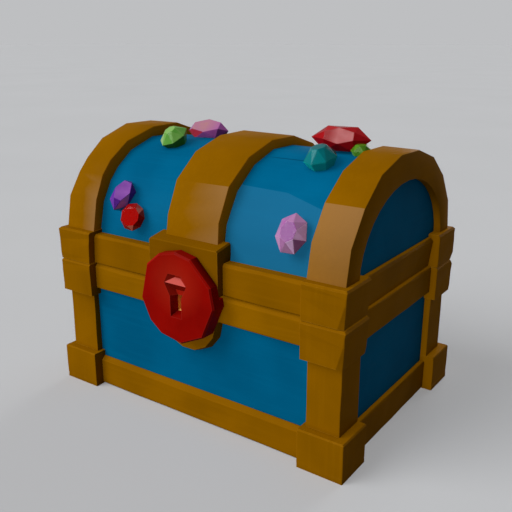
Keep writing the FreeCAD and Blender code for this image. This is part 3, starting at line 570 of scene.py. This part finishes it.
# %% Polish the stones
def cut_stone(node, tilt, roll, table, crown, shade, keel):
    """A polished stone that leans forward by its tilt and sideways by its roll. Its tones are painted
    reflections: the flat table takes one tone, on some stones only from one side, each crown facet a mix of
    two by the way it faces, and the sides below one of their own. A facet that faces within 15 degrees of a
    lit direction takes its tone as a painted highlight."""
    material, tree, shader, place = new_material(node + "_stone")
    lean, turn = math.radians(tilt), math.radians(roll)
    axis = (math.sin(turn), -math.cos(turn) * math.sin(lean), math.cos(turn) * math.cos(lean))
    looks = facing(tree)
    upright = dot(tree, looks, axis)
    facet = add(tree, "TexNoise", inputs={"Vector": looks, "Scale": 3.1, "Detail": 1.0}).outputs["Fac"]
    heart = cloud(tree, place, 130.0, 2.0)
    colour = blend_colours(tree, rescale(tree, facet, 0.38, 0.62), crown, shade)
    colour = blend_colours(tree, rescale(tree, heart, 0.4, 0.75, 0.0, 0.5), colour, crown)
    on_table = rescale(tree, upright, 0.94, 0.985)
    on_table = times(tree, on_table, rescale(tree, heart, 0.25, 0.6, 1.0, 0.6))
    if node in PALE_FROM:
        left, right = (corner[0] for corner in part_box(node))
        ends = [left + share * (right - left) for share in PALE_FROM[node]]
        on_table = times(tree, on_table, rescale(tree, axes(tree, place)[0], *ends))
    colour = blend_colours(tree, on_table, colour, table)
    colour = blend_colours(tree, rescale(tree, upright, 0.2, 0.0), colour, keel)
    for direction, tone in LIT_FACETS.get(node, []):
        colour = blend_colours(tree, rescale(tree, dot(tree, looks, direction), 0.94, 0.965), colour, tone)
    tree.links.new(colour, shader.inputs["Base Color"])
    tree.links.new(rescale(tree, heart, 0.3, 0.7, 0.1, 0.2), shader.inputs["Roughness"])
    shader.inputs["IOR"].default_value = 1.5
    shader.inputs["Specular IOR Level"].default_value = 0.03
    shader.inputs["Transmission Weight"].default_value = 0.06
    return material


stone_finish = {node: cut_stone(node, *tones) for node, tones in STONES.items()}
print("polished", sorted(stone_finish))

# %% [markdown]
# ## Bars from carried outlines
# Every rail, post, block and band is a bar: one outline that travels along a path and changes a little
# on its way. A cube could be pushed and pulled for each, but so many edits are hard to repeat. Here the
# corners of all the cross-sections of a bar sit in one array, and one function joins them.


# %% Helpers for carried bars
def seeded(name):
    """Random numbers that depend only on a piece's name, so each run carves it the same way."""
    return np.random.default_rng(sum(map(ord, name)))


def eased(sections, reach, steps=3):
    """Round each corner: a quadratic curve from a point before it to a point after it, drawn to it."""
    before = np.roll(sections, 1, axis=1) - sections
    after = np.roll(sections, -1, axis=1) - sections
    start = sections + before * np.minimum(reach / np.linalg.norm(before, axis=2, keepdims=True), 0.4)
    end = sections + after * np.minimum(reach / np.linalg.norm(after, axis=2, keepdims=True), 0.4)
    t = np.linspace(0.0, 1.0, steps)[:, None]
    corner = sections[:, :, None, :]
    curve = (1 - t) ** 2 * start[:, :, None, :] + 2 * t * (1 - t) * corner + t**2 * end[:, :, None, :]
    return curve.reshape(len(sections), -1, 3)


def carried(name, sections):
    """A closed bar: each section is joined to the next by four-sided faces, and both ends are capped. The
    sum of the corners' triple products tells whether the faces look outwards."""
    stations, corners = sections.shape[:2]
    ring = np.arange(stations - 1)[:, None] * corners
    here = np.arange(corners)[None, :]
    after = (here + 1) % corners
    quads = np.stack([ring + here, ring + after, ring + corners + after, ring + corners + here], -1)
    quads = quads.reshape(-1, 4)
    caps = [np.arange(corners)[::-1].tolist(), (np.arange(corners) + (stations - 1) * corners).tolist()]
    points = sections.reshape(-1, 3)
    a, b, c, d = (points - points.mean(axis=0))[quads].transpose(1, 0, 2)
    volume = np.sum(a * np.cross(b, c)) + np.sum(a * np.cross(c, d))
    mesh = bpy.data.meshes.new(name)
    mesh.from_pydata(points.tolist(), [], quads.tolist() + caps)
    if volume < 0:
        mesh.flip_normals()
    return mesh


carved = {}


def stand_in(mesh, node, finish):
    """Put a carried bar in place of the node that it follows, on the same body."""
    piece = bpy.data.objects.new("carved_" + node, mesh)
    bpy.context.scene.collection.objects.link(piece)
    mesh.materials.append(finish)
    body = "lid" if node.startswith("lid_") else "case"
    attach(piece, body)
    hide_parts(node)
    carved[node] = piece


print("bar helpers ready")

# %% [markdown]
# ## Rails
# The mouldings between the blocks were planed by hand, so their edges wander and their bevels change
# width. A Displace modifier could shake a straight bar, but it would also move the faces that meet other
# pieces. Carrying a six-cornered outline along the rail moves only the corners that show.

# %% Shape a rail
RAIL_STATIONS = 7


def rail_sections(node, low_bevel, high_bevel, wander, drop, lean):
    """A six-cornered outline carried along a rail: inner foot, the outer face between two bevels, inner
    top. The corners of the outer face shift by seeded shares of the wander at each station. The drop lets
    the underside hang a hair below its node, and the lean draws the foot of the outer face back."""
    low, high = (np.array(corner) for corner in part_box(node))
    run = 0 if node.endswith(("front", "back")) else 1
    across = 1 - run
    outward = 1.0 if node.endswith(("back", "right")) else -1.0
    low[2] -= drop
    inner = low[across] if outward > 0 else high[across]
    depth = high[across] - low[across]
    dice = seeded(node)
    stations = RAIL_STATIONS
    share = np.linspace(0.0, 1.0, stations)
    share[1:-1] += dice.uniform(-0.05, 0.05, stations - 2)
    shift = dice.uniform(-1.0, 1.0, (stations, 4)) * wander
    inset = np.abs(dice.uniform(-1.0, 1.0, (stations, 2))) * wander * 0.6
    flat = np.zeros(stations)
    foot, top = depth - lean, flat + high[2]
    out = [flat, foot - low_bevel + shift[:, 0] * 0.5, foot - inset[:, 0]]
    out += [depth - inset[:, 1], depth - high_bevel + shift[:, 1] * 0.8, flat]
    up = [flat + low[2], flat + low[2], low[2] + low_bevel + shift[:, 2] * 0.5]
    up += [high[2] - high_bevel + shift[:, 3], top, top]
    sections = np.zeros((stations, 6, 3))
    sections[:, :, run] = (low[run] + share * (high[run] - low[run]))[:, None]
    sections[:, :, across] = inner + outward * np.stack(out, axis=1)
    sections[:, :, 2] = np.stack(up, axis=1)
    return sections


print("stations along a rail", RAIL_STATIONS)

# %% Carve the rails
# Bevels below and above, and how far the corners wander, all in millimetres.
RAIL_BEVELS = {"bottom_rail_": (0.5, 2.6), "rim_rail_": (0.5, 2.6), "lid_rail_": (2.4, 1.4)}
RAIL_WANDER = {"front": 0.45, "back": 0.3, "left": 0.6, "right": 0.6}
END_RAIL_BEVEL = 0.8
CLOSING_BEVEL, CLOSING_DROP, CLOSING_LEAN = 0.6, 0.3, 2.0
RAIL_EASE = 0.35 * MM
for ring_name, (low_bevel, high_bevel) in RAIL_BEVELS.items():
    for side, wander in RAIL_WANDER.items():
        node = ring_name + side
        at_end = side in ("left", "right")
        on_lid = ring_name == "lid_rail_"
        closes = on_lid and side != "back"
        under, drop = (CLOSING_BEVEL, CLOSING_DROP) if closes else (low_bevel, 0.0)
        over = END_RAIL_BEVEL if at_end and not on_lid else high_bevel
        lean = CLOSING_LEAN if at_end and closes else 0.0
        sizes = (size * MM for size in (under, over, wander, drop, lean))
        mesh = carried(node + "_bar", eased(rail_sections(node, *sizes), RAIL_EASE))
        way = "along_y" if at_end else "rim" if ring_name == "rim_rail_" else "along_x"
        stand_in(mesh, node, gold[way])
print("rails", len(carved))

# %% [markdown]
# ## Feet, posts and corner blocks
# Each corner of the chest is a stack of three blocks on the case and one on the lid, hollowed to fit
# round it. A cube with a notch cut out of it would do, but its edges would be dead straight. An L-shaped
# plan carried upwards can lean, taper and lose its outer edge on the way, like a block cut with a knife.

# %% Shape an upright block
LEFT_FLARE = 1.8 * MM
CLOSED_NOTCH = 0.3 * MM


def upright_sections(node, levels, hollow, wander):
    """An L-shaped plan of seven corners carried upwards. Each level gives a height, how far the end and
    the front or back face stand back, the cut at the outer edge, and how open the hollow is. The
    lid's front left block grows longer towards its top, up to the flare."""
    low, high = (np.array(corner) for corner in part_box(node))
    x_side = 1.0 if node.endswith("right") else -1.0
    y_side = 1.0 if "_back_" in node else -1.0
    sizes = np.sort(np.abs([low[:2] - (0.0, middle_y), high[:2] - (0.0, middle_y)]), axis=0)
    (inner_u, inner_v), (outer_u, outer_v) = sizes
    height, back_x, back_y, edge, opened = (np.array(column) for column in zip(*levels))
    shift = seeded(node).uniform(0.0, 1.0, (len(height), 4)) * wander
    end = outer_u - back_x[:, None] - shift[:, :2]
    face = outer_v - back_y[:, None] - shift[:, 2:]
    notch_u = inner_u + (hollow[0] - inner_u) * opened
    notch_v = inner_v + (hollow[1] - inner_v) * opened
    step = CLOSED_NOTCH * (1.0 - opened)
    same = np.zeros(len(height))
    flare = LEFT_FLARE if node == "lid_block_front_left" else 0.0
    leg = inner_u - flare * (height - height[0]) / (height[-1] - height[0])
    u = [end[:, 0], end[:, 1], end[:, 1] - edge, leg, inner_u + same, notch_u, notch_u + step]
    v = [inner_v + same, face[:, 0] - edge * 0.35, face[:, 0], face[:, 1]]
    v += [notch_v + step, notch_v, inner_v + same]
    sections = np.zeros((len(height), 7, 3))
    sections[:, :, 0] = x_side * np.stack(u, axis=1)
    sections[:, :, 1] = middle_y + y_side * np.stack(v, axis=1)
    sections[:, :, 2] = height[:, None]
    return sections


print("flare in mm", LEFT_FLARE / MM)

# %% Set the levels of each kind of block
LID_BLOCK_RISE = 2.0 * MM
BLOCK_BEVEL = 1.0 * MM
STOP_DEPTH, STOP_HEIGHT = 2.85 * MM, 3.65 * MM
CRISP_EDGE, POST_EDGE, KNIFED_EDGE = 0.5 * MM, 0.4 * MM, 3.2 * MM
LEAN_IN, PLAIN_LEAN = 1.4 * MM, 0.1 * MM
FRONT_TAPER, BACK_TAPER = 0.3 * MM, 1.6 * MM
WAIST, CUT_ENDS = 12.0 * MM, 6.0 * MM
SOLE, SOLE_STEP = 3.0 * MM, 0.01 * MM
FOOT_BEVEL = 0.6 * MM
THICK_POST = 1.4 * MM


def block_levels(node):
    """Heights of a corner block: a little narrower below and bevelled on top. The front right one leans
    in and loses its outer edge below. Behind, sloped stops let the lid lean back on the case."""
    low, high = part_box(node)
    z0, z1 = low[2], high[2] + (LID_BLOCK_RISE if node.startswith("lid") else 0.0)
    shoulder = z1 - BLOCK_BEVEL
    heights = [z0, z0 + STOP_HEIGHT, z0 + WAIST, z1 - STOP_HEIGHT, shoulder, z1]
    knifed = node.endswith("front_right")
    lean = LEAN_IN if knifed else PLAIN_LEAN
    taper = np.interp(heights, [z0, shoulder, z1], [lean, 0.0, BLOCK_BEVEL])
    face = np.interp(heights, [z0, shoulder, z1], [FRONT_TAPER, 0.0, BLOCK_BEVEL])
    if node.startswith("rim_block_back"):
        face = np.interp(heights, [z0, z1 - STOP_HEIGHT, z1], [BACK_TAPER, 0.0, STOP_DEPTH])
    elif node.startswith("lid_block_back"):
        turns = [z0, z0 + STOP_HEIGHT, shoulder, z1]
        face = np.interp(heights, turns, [STOP_DEPTH, 0.0, 0.0, BLOCK_BEVEL])
    cut = KNIFED_EDGE if knifed else CRISP_EDGE
    edge = np.interp(heights, [z0, z1 - CUT_ENDS], [cut, CRISP_EDGE])
    return list(zip(heights, taper, face, edge, np.ones(len(heights))))


def foot_levels(node):
    """Heights of a foot: a full sole under the case, then a hollow, then a bevel on top."""
    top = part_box(node)[1][2]
    closed = [(z, 0.0, 0.0, CRISP_EDGE, 0.0) for z in (0.0, SOLE - SOLE_STEP)]
    opened = [(z, 0.0, 0.0, CRISP_EDGE, 1.0) for z in (SOLE, top * 0.5, top - FOOT_BEVEL)]
    return closed + opened + [(top, FOOT_BEVEL, FOOT_BEVEL, CRISP_EDGE, 1.0)]


def post_levels(node):
    """Heights of a post: straight, with a crisp edge. The front left one was left a little thicker."""
    low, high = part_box(node)
    heights = np.linspace(low[2], high[2], 4)
    none = np.zeros(4)
    end = none - THICK_POST if node.endswith("front_left") else none
    return list(zip(heights, end, none, none + POST_EDGE, none + 1.0))


print("slope of the stops", round(STOP_DEPTH / STOP_HEIGHT, 2))

# %% Carve the corner blocks
BOARD_THICKNESS = 5.0 * MM
BLOCK_EASE = 0.3 * MM
lid_inside = np.array([case_half[0] - BOARD_THICKNESS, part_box("lid_rail_back")[0][1] - middle_y])
# For each kind: its levels, the hollow behind it, and how far its faces wander in millimetres.
PLANS = {
    "foot_": (foot_levels, case_half, 0.25),
    "post_": (post_levels, case_half, 0.45),
    "rim_block_": (block_levels, case_half, 0.4),
    "lid_block_": (block_levels, lid_inside, 0.4),
}
for corner_name in ("front_left", "front_right", "back_left", "back_right"):
    for kind, (levels_of, hollow, wander) in PLANS.items():
        node = kind + corner_name
        sections = upright_sections(node, levels_of(node), hollow, wander * MM)
        stand_in(carried(node + "_block", eased(sections, BLOCK_EASE)), node, gold["along_z"])
print("rails and blocks", len(carved))

# %% [markdown]
# ## Outlines over the arch
# The vault is a barrel of narrow boards, held by three bands. Bending a straight strip with a Curve
# modifier would squeeze its outline, so each outline corner gets its own half ellipse instead: the same
# angle round the arch, but its own half-width and rise. Boards and bands are planed flat between joints.

# %% Carry an outline over the arch
JOINTS = np.arange(0.0, 181.0, 20.0)
STATIONS = np.array([0.0, 10.0, 20.0, 30.0, 40.0, 40.0, *range(50, 181, 10)])
CREASE = 4
CREASE_ANGLE = 40.0
SOFT_TURN, CRISP_TURN = 5.0, 0.1


def between_joints(angles, values):
    """Values at the joints of the boards, drawn straight between them, one column for each corner."""
    columns = zip(angles.T, values.T)
    return np.stack([np.interp(column, JOINTS, value) for column, value in columns], axis=1)


def arch_sections(name, outline, flat, free, wander, crease, spread, bend=0.0):
    """Each corner has a place along the lid, a half-width and a rise. At an angle round the arch it is
    half-width times cosine in front of the middle and rise times sine above the rim; a flat corner is
    drawn straight between the joints. Free corners shift at the joints by seeded shares of the wander.
    The crease is each corner's own angle for the turn towards the top, and the spread how far the two
    stations of that turn lie apart. The bend moves corners along the lid at the joints."""
    along, half_width, rise = np.array(outline).T
    at_joints = np.zeros((len(JOINTS), len(outline)))
    angles = np.repeat(STATIONS[:, None], len(outline), axis=1)
    angles[CREASE] = np.array(crease) - np.array(spread)
    angles[CREASE + 1] = np.array(crease) + np.array(spread)
    dice = seeded(name)
    grow = between_joints(angles, dice.uniform(-1.0, 0.0, at_joints.shape) * wander * np.array(free))
    slide = between_joints(angles, dice.uniform(0.0, 1.0, at_joints.shape) * wander * np.array(free))
    joint, turn = np.radians(JOINTS)[:, None], np.radians(angles)
    forward = np.where(flat, between_joints(angles, at_joints + np.cos(joint)), np.cos(turn))
    up = np.where(flat, between_joints(angles, at_joints + np.sin(joint)), np.sin(turn))
    sections = np.zeros((*angles.shape, 3))
    sections[:, :, 0] = along - np.sign(along) * slide + between_joints(angles, at_joints + bend)
    sections[:, :, 1] = middle_y - (half_width + grow) * forward
    sections[:, :, 2] = rim_top + (rise + grow) * up
    return sections


# %% [markdown]
# ## Soft faces and a painted highlight
# Light runs softly over the arch, except for one crisp crease where it turns from front to top. Smooth
# shading alone would lose that crease, so its edges are marked sharp. Below it the paint carries a painted
# highlight.
# Its strength is stored on the points, where the paint reads it.

# %% Blend faces and store the painted highlight
SHARP_ANGLE = math.radians(27.0)


def blend_faces(mesh, crisp):
    """Smooth the faces, but keep edges sharp that turn a lot or that join two crisp points."""
    mesh.shade_smooth()
    mesh.set_sharp_from_angle(angle=SHARP_ANGLE)
    ends = np.zeros(len(mesh.edges) * 2, dtype=np.int32)
    mesh.edges.foreach_get("vertices", ends)
    sharp = np.zeros(len(mesh.edges), dtype=bool)
    mesh.edges.foreach_get("use_edge_sharp", sharp)
    sharp |= crisp.ravel()[ends.reshape(-1, 2)].all(axis=1)
    mesh.edges.foreach_set("use_edge_sharp", sharp)


def store_sheen(mesh, amounts):
    """Store how strong the painted highlight is at each point; the paint reads below 0 as none and 1 as full.
    """
    mesh.attributes.new("sheen", "FLOAT", "POINT").data.foreach_set("value", amounts.ravel())


def faded(shares):
    """Shares for the stations up to the crease, then none."""
    return np.array([*shares, *np.zeros(len(STATIONS) - len(shares))])[:, None]


print("crease at", CREASE_ANGLE, "degrees")

# %% [markdown]
# ## Bands
# The end bands turn down over the lid's ends as an arch, the middle band is a plain strap. All were bent
# by hand: the left one kinks on its inner side and the middle one leans back at its foot. Sculpting could
# do it, but a short list of shifts at the joints is easier to change.

# %% Describe the bands
ARCH_SIDE, ARCH_TOP = 6.0 * MM, 11.2 * MM
arch_inner = (vault[0] - ARCH_SIDE, vault[1] - ARCH_TOP)
# How strong a band's painted highlight is at its left edge, growing to 1 at its right, and shares from foot
# to crease.
SHEEN_SHARES = {
    "left": (-1.2, [1.0, 0.95, 0.8, 0.45, 0.05]),
    "middle": (-0.6, [0.95, 0.8, 0.45, 0.65, 0.85]),
    "right": (0.8, [0.35, 0.48, 0.62, 0.75, 0.85]),
}
# Shifts along the lid, in millimetres, for corners of the outline at the joints from the foot on.
BENDS = {
    "left": {0: [-1.8, -1.2, -2.2, -1.8, -1.5, -1.0], 1: [-0.8, -0.5, -3.6, -1.6, 1.0, 0.5]},
    "middle": {0: [1.0, 2.2, 0.5], 1: [1.0, 2.2, 0.5], 2: [0.5, 0.3], 3: [0.5, 0.3]},
    "right": {},
}
# How far the middle band's outer face stands back at the stations from the foot on, in millimetres.
SET_BACK = np.array([4.0, 3.0, 2.0, 1.0])


def band_outline(band_name):
    """Corners as place along the lid, half-width and rise: up one side of the band, over it and down."""
    low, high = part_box("lid_band_" + band_name)
    outer = arch_size("lid_band_" + band_name)
    if band_name == "middle":
        return [(low[0], *vault), (low[0], *outer), (high[0], *outer), (high[0], *vault)]
    near, far, end = high[0], low[0], -case_half[0]
    if band_name == "right":
        near, far, end = low[0], high[0], case_half[0]
    over = [(near, *vault), (near, *outer), (far, *outer), (far, *arch_inner)]
    return over + [(end, *arch_inner), (end, *vault)]


print("arch inside in mm", np.round(np.array(arch_inner) / MM, 1))

# %% Bend the bands
BAND_WANDER, BAND_EASE = 0.5 * MM, 0.5 * MM
for band_name, (start, shares) in SHEEN_SHARES.items():
    node = "lid_band_" + band_name
    outline = band_outline(band_name)
    flat = [corner[1:] != arch_inner for corner in outline]
    free = [0, 1, 1] + [0] * (len(outline) - 3)
    bend = np.zeros((len(JOINTS), len(outline)))
    for corner, shifts in BENDS[band_name].items():
        bend[: len(shifts), corner] = np.array(shifts) * MM
    spread = SOFT_TURN if band_name == "left" else CRISP_TURN
    sections = arch_sections(node, outline, flat, free, BAND_WANDER, CREASE_ANGLE, spread, bend)
    if band_name == "middle":
        sections[: len(SET_BACK), 1:3, 1] += SET_BACK[:, None] * MM
    sections = eased(sections, BAND_EASE)
    mesh = carried(node + "_strap", sections)
    # Easing made three points of each corner; the outer face lies between the second and third corner.
    on_face = np.zeros((len(outline), 3))
    on_face[1], on_face[2] = (0.0, 0.5, 1.0), (1.0, 0.5, 0.0)
    on_face = on_face.ravel()
    crisp = np.zeros(sections.shape[:2], dtype=bool)
    crisp[CREASE] = (on_face > 0) & (band_name != "left")
    blend_faces(mesh, crisp)
    left, right = (corner[0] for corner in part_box(node))
    share = (sections[:, :, 0] - left) / (right - left)
    # Painted highlight on the outer face of the band, below the crease.
    store_sheen(mesh, faded(shares) * (start + (1.0 - start) * share) * on_face)
    stand_in(mesh, node, gold["over_arch"])
print("with bands", len(carved))

# %% [markdown]
# ## Lock block
# The middle band ends on a block that the red medallion partly covers. Its top slopes up to the lid's
# boards. A bevelled cube could be tilted into shape, but a four-cornered outline carried from left to
# right gives the slope and the two cut ends in one go.

# %% Seat the lock block
BLOCK_DEPTH = 11.5 * MM
EDGE_RISE, CREST_RISE = 0.3 * MM, 2.6 * MM
END_CUT = 0.8 * MM
LOCK_EASE = 0.5 * MM
low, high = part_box("lid_lock_block")
front, rear = low[1], low[1] + BLOCK_DEPTH
edge, crest = high[2] + EDGE_RISE, high[2] + CREST_RISE
x = np.array([low[0], low[0] + END_CUT, high[0] - END_CUT, high[0]])
cut = np.array([END_CUT, 0.0, 0.0, END_CUT])
sections = np.zeros((len(x), 4, 3))
sections[:, :, 0] = x[:, None]
sections[:, :, 1:] = [(front, low[2]), (front, edge), (rear, crest), (rear, low[2])]
sections[:, 1:3, 2] -= cut[:, None]
stand_in(carried("lid_lock_block_bar", eased(sections, LOCK_EASE)), "lid_lock_block", gold["lock"])
print("lock block climbs by", round((crest - edge) / MM, 1), "mm")

# %% [markdown]
# ## Staves
# The boards of the vault are one barrel here, because their joints are painted over. On the right the
# crease between front and top runs aslant, as if planed in one sweep. A loop cut would stay level, so each
# corner of the outline has its own angle for the crease.

# %% Lay the staves
STAVE_THICKNESS = 4.0 * MM
stave_low, stave_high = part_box("lid_staves")
inside = (vault[0] - STAVE_THICKNESS, vault[1] - STAVE_THICKNESS)
ridge = [stave_low[0], -10.0 * MM, 10.0 * MM, 48.0 * MM, stave_high[0]]
outline = [(stave_low[0], *inside), *[(x, *vault) for x in ridge], (stave_high[0], *inside)]
crease = [CREASE_ANGLE] * 3 + [45.5, 44.0, 31.0, CREASE_ANGLE]
spread = [SOFT_TURN] * 3 + [CRISP_TURN] * 3 + [SOFT_TURN]
sections = arch_sections("lid_staves", outline, [True] * 7, [0] * 7, 0.0, crease, spread)
mesh = carried("lid_staves_vault", sections)
crisp = np.zeros(sections.shape[:2], dtype=bool)
crisp[CREASE, 3:6] = True
blend_faces(mesh, crisp)
# Painted highlight below the crease: faint on the left bay, strong on the right.
left_bay = faded([0.5, 0.45, 0.35, 0.15, 0.0]) * np.array([0.0, 0.0, 0.6, 0.0, 0.0, 0.0, 0.0])
right_bay = faded([1.0, 1.0, 0.95, 0.9, 0.85]) * np.array([0.0, 0.0, 0.0, 0.85, 0.95, 1.0, 0.0])
store_sheen(mesh, left_bay + right_bay)
stand_in(mesh, "lid_staves", blue["over_arch"])
print("carved pieces", len(carved))

# %% [markdown]
# ## Dress the nodes that keep their shape
# Panels, stones and metalwork already have the right form, so they only need a finish. Loose triangles
# are welded by a modifier first and the sharp edges are eased, so that they catch a thin line of light.
# The lock's plug and barrel stay sharp, because a rounded inner corner would close the play that the plug
# turns in, and so do the hinge leaves and their screws, whose heads lie flush.

# %% Choose finishes and eased edges
WELD_REACH = 0.01 * MM
EASE_ANGLE = math.radians(18.0)


def soften(piece, width):
    """Weld the loose triangles and round the sharp edges by a given width."""
    weld = piece.modifiers.new("weld", "WELD")
    weld.merge_threshold = WELD_REACH
    ease = piece.modifiers.new("ease", "BEVEL")
    ease.width = width
    ease.segments = 2
    ease.limit_method = "ANGLE"
    ease.angle_limit = EASE_ANGLE


def finish_for(node):
    """The finish of a node that keeps its shape, chosen by its name."""
    if node in stone_finish:
        return stone_finish[node]
    if node == "lock_medallion":
        return red_lacquer
    if node in ("hinge_pins", "lock_cam"):
        return steel
    if node.endswith("screws"):
        return dark_brass
    if "hinge" in node or node in ("lock_barrel", "lock_nut", "lock_plug", "keeper"):
        return brass
    if node == "floor_panel":
        return board
    if node in ("front_panel", "back_panel"):
        return blue["along_x"]
    if node.endswith("_panel") or node.startswith("lid_end"):
        return blue["along_y"]
    return gold["along_x"]


print("edges eased from", round(math.degrees(EASE_ANGLE)), "degrees on")

# %% Dress the nodes
FINE_EASE, PLAIN_EASE = 0.2 * MM, 0.4 * MM
CLOSE_FIT = {"lock_plug", "lock_barrel", "base_hinge_leaves", "lid_hinge_leaves", "base_screws", "lid_screws"}
for node, piece in sorted(nodes.items()):
    replaced = node in carved
    piece.data.materials.clear()
    piece.data.materials.append(carved[node].data.materials[0] if replaced else finish_for(node))
    if not replaced and node not in CLOSE_FIT:
        soften(piece, FINE_EASE if node.startswith(("gem", "lock_", "hinge")) else PLAIN_EASE)
print("dressed", len(nodes), "carved anew", len(carved))
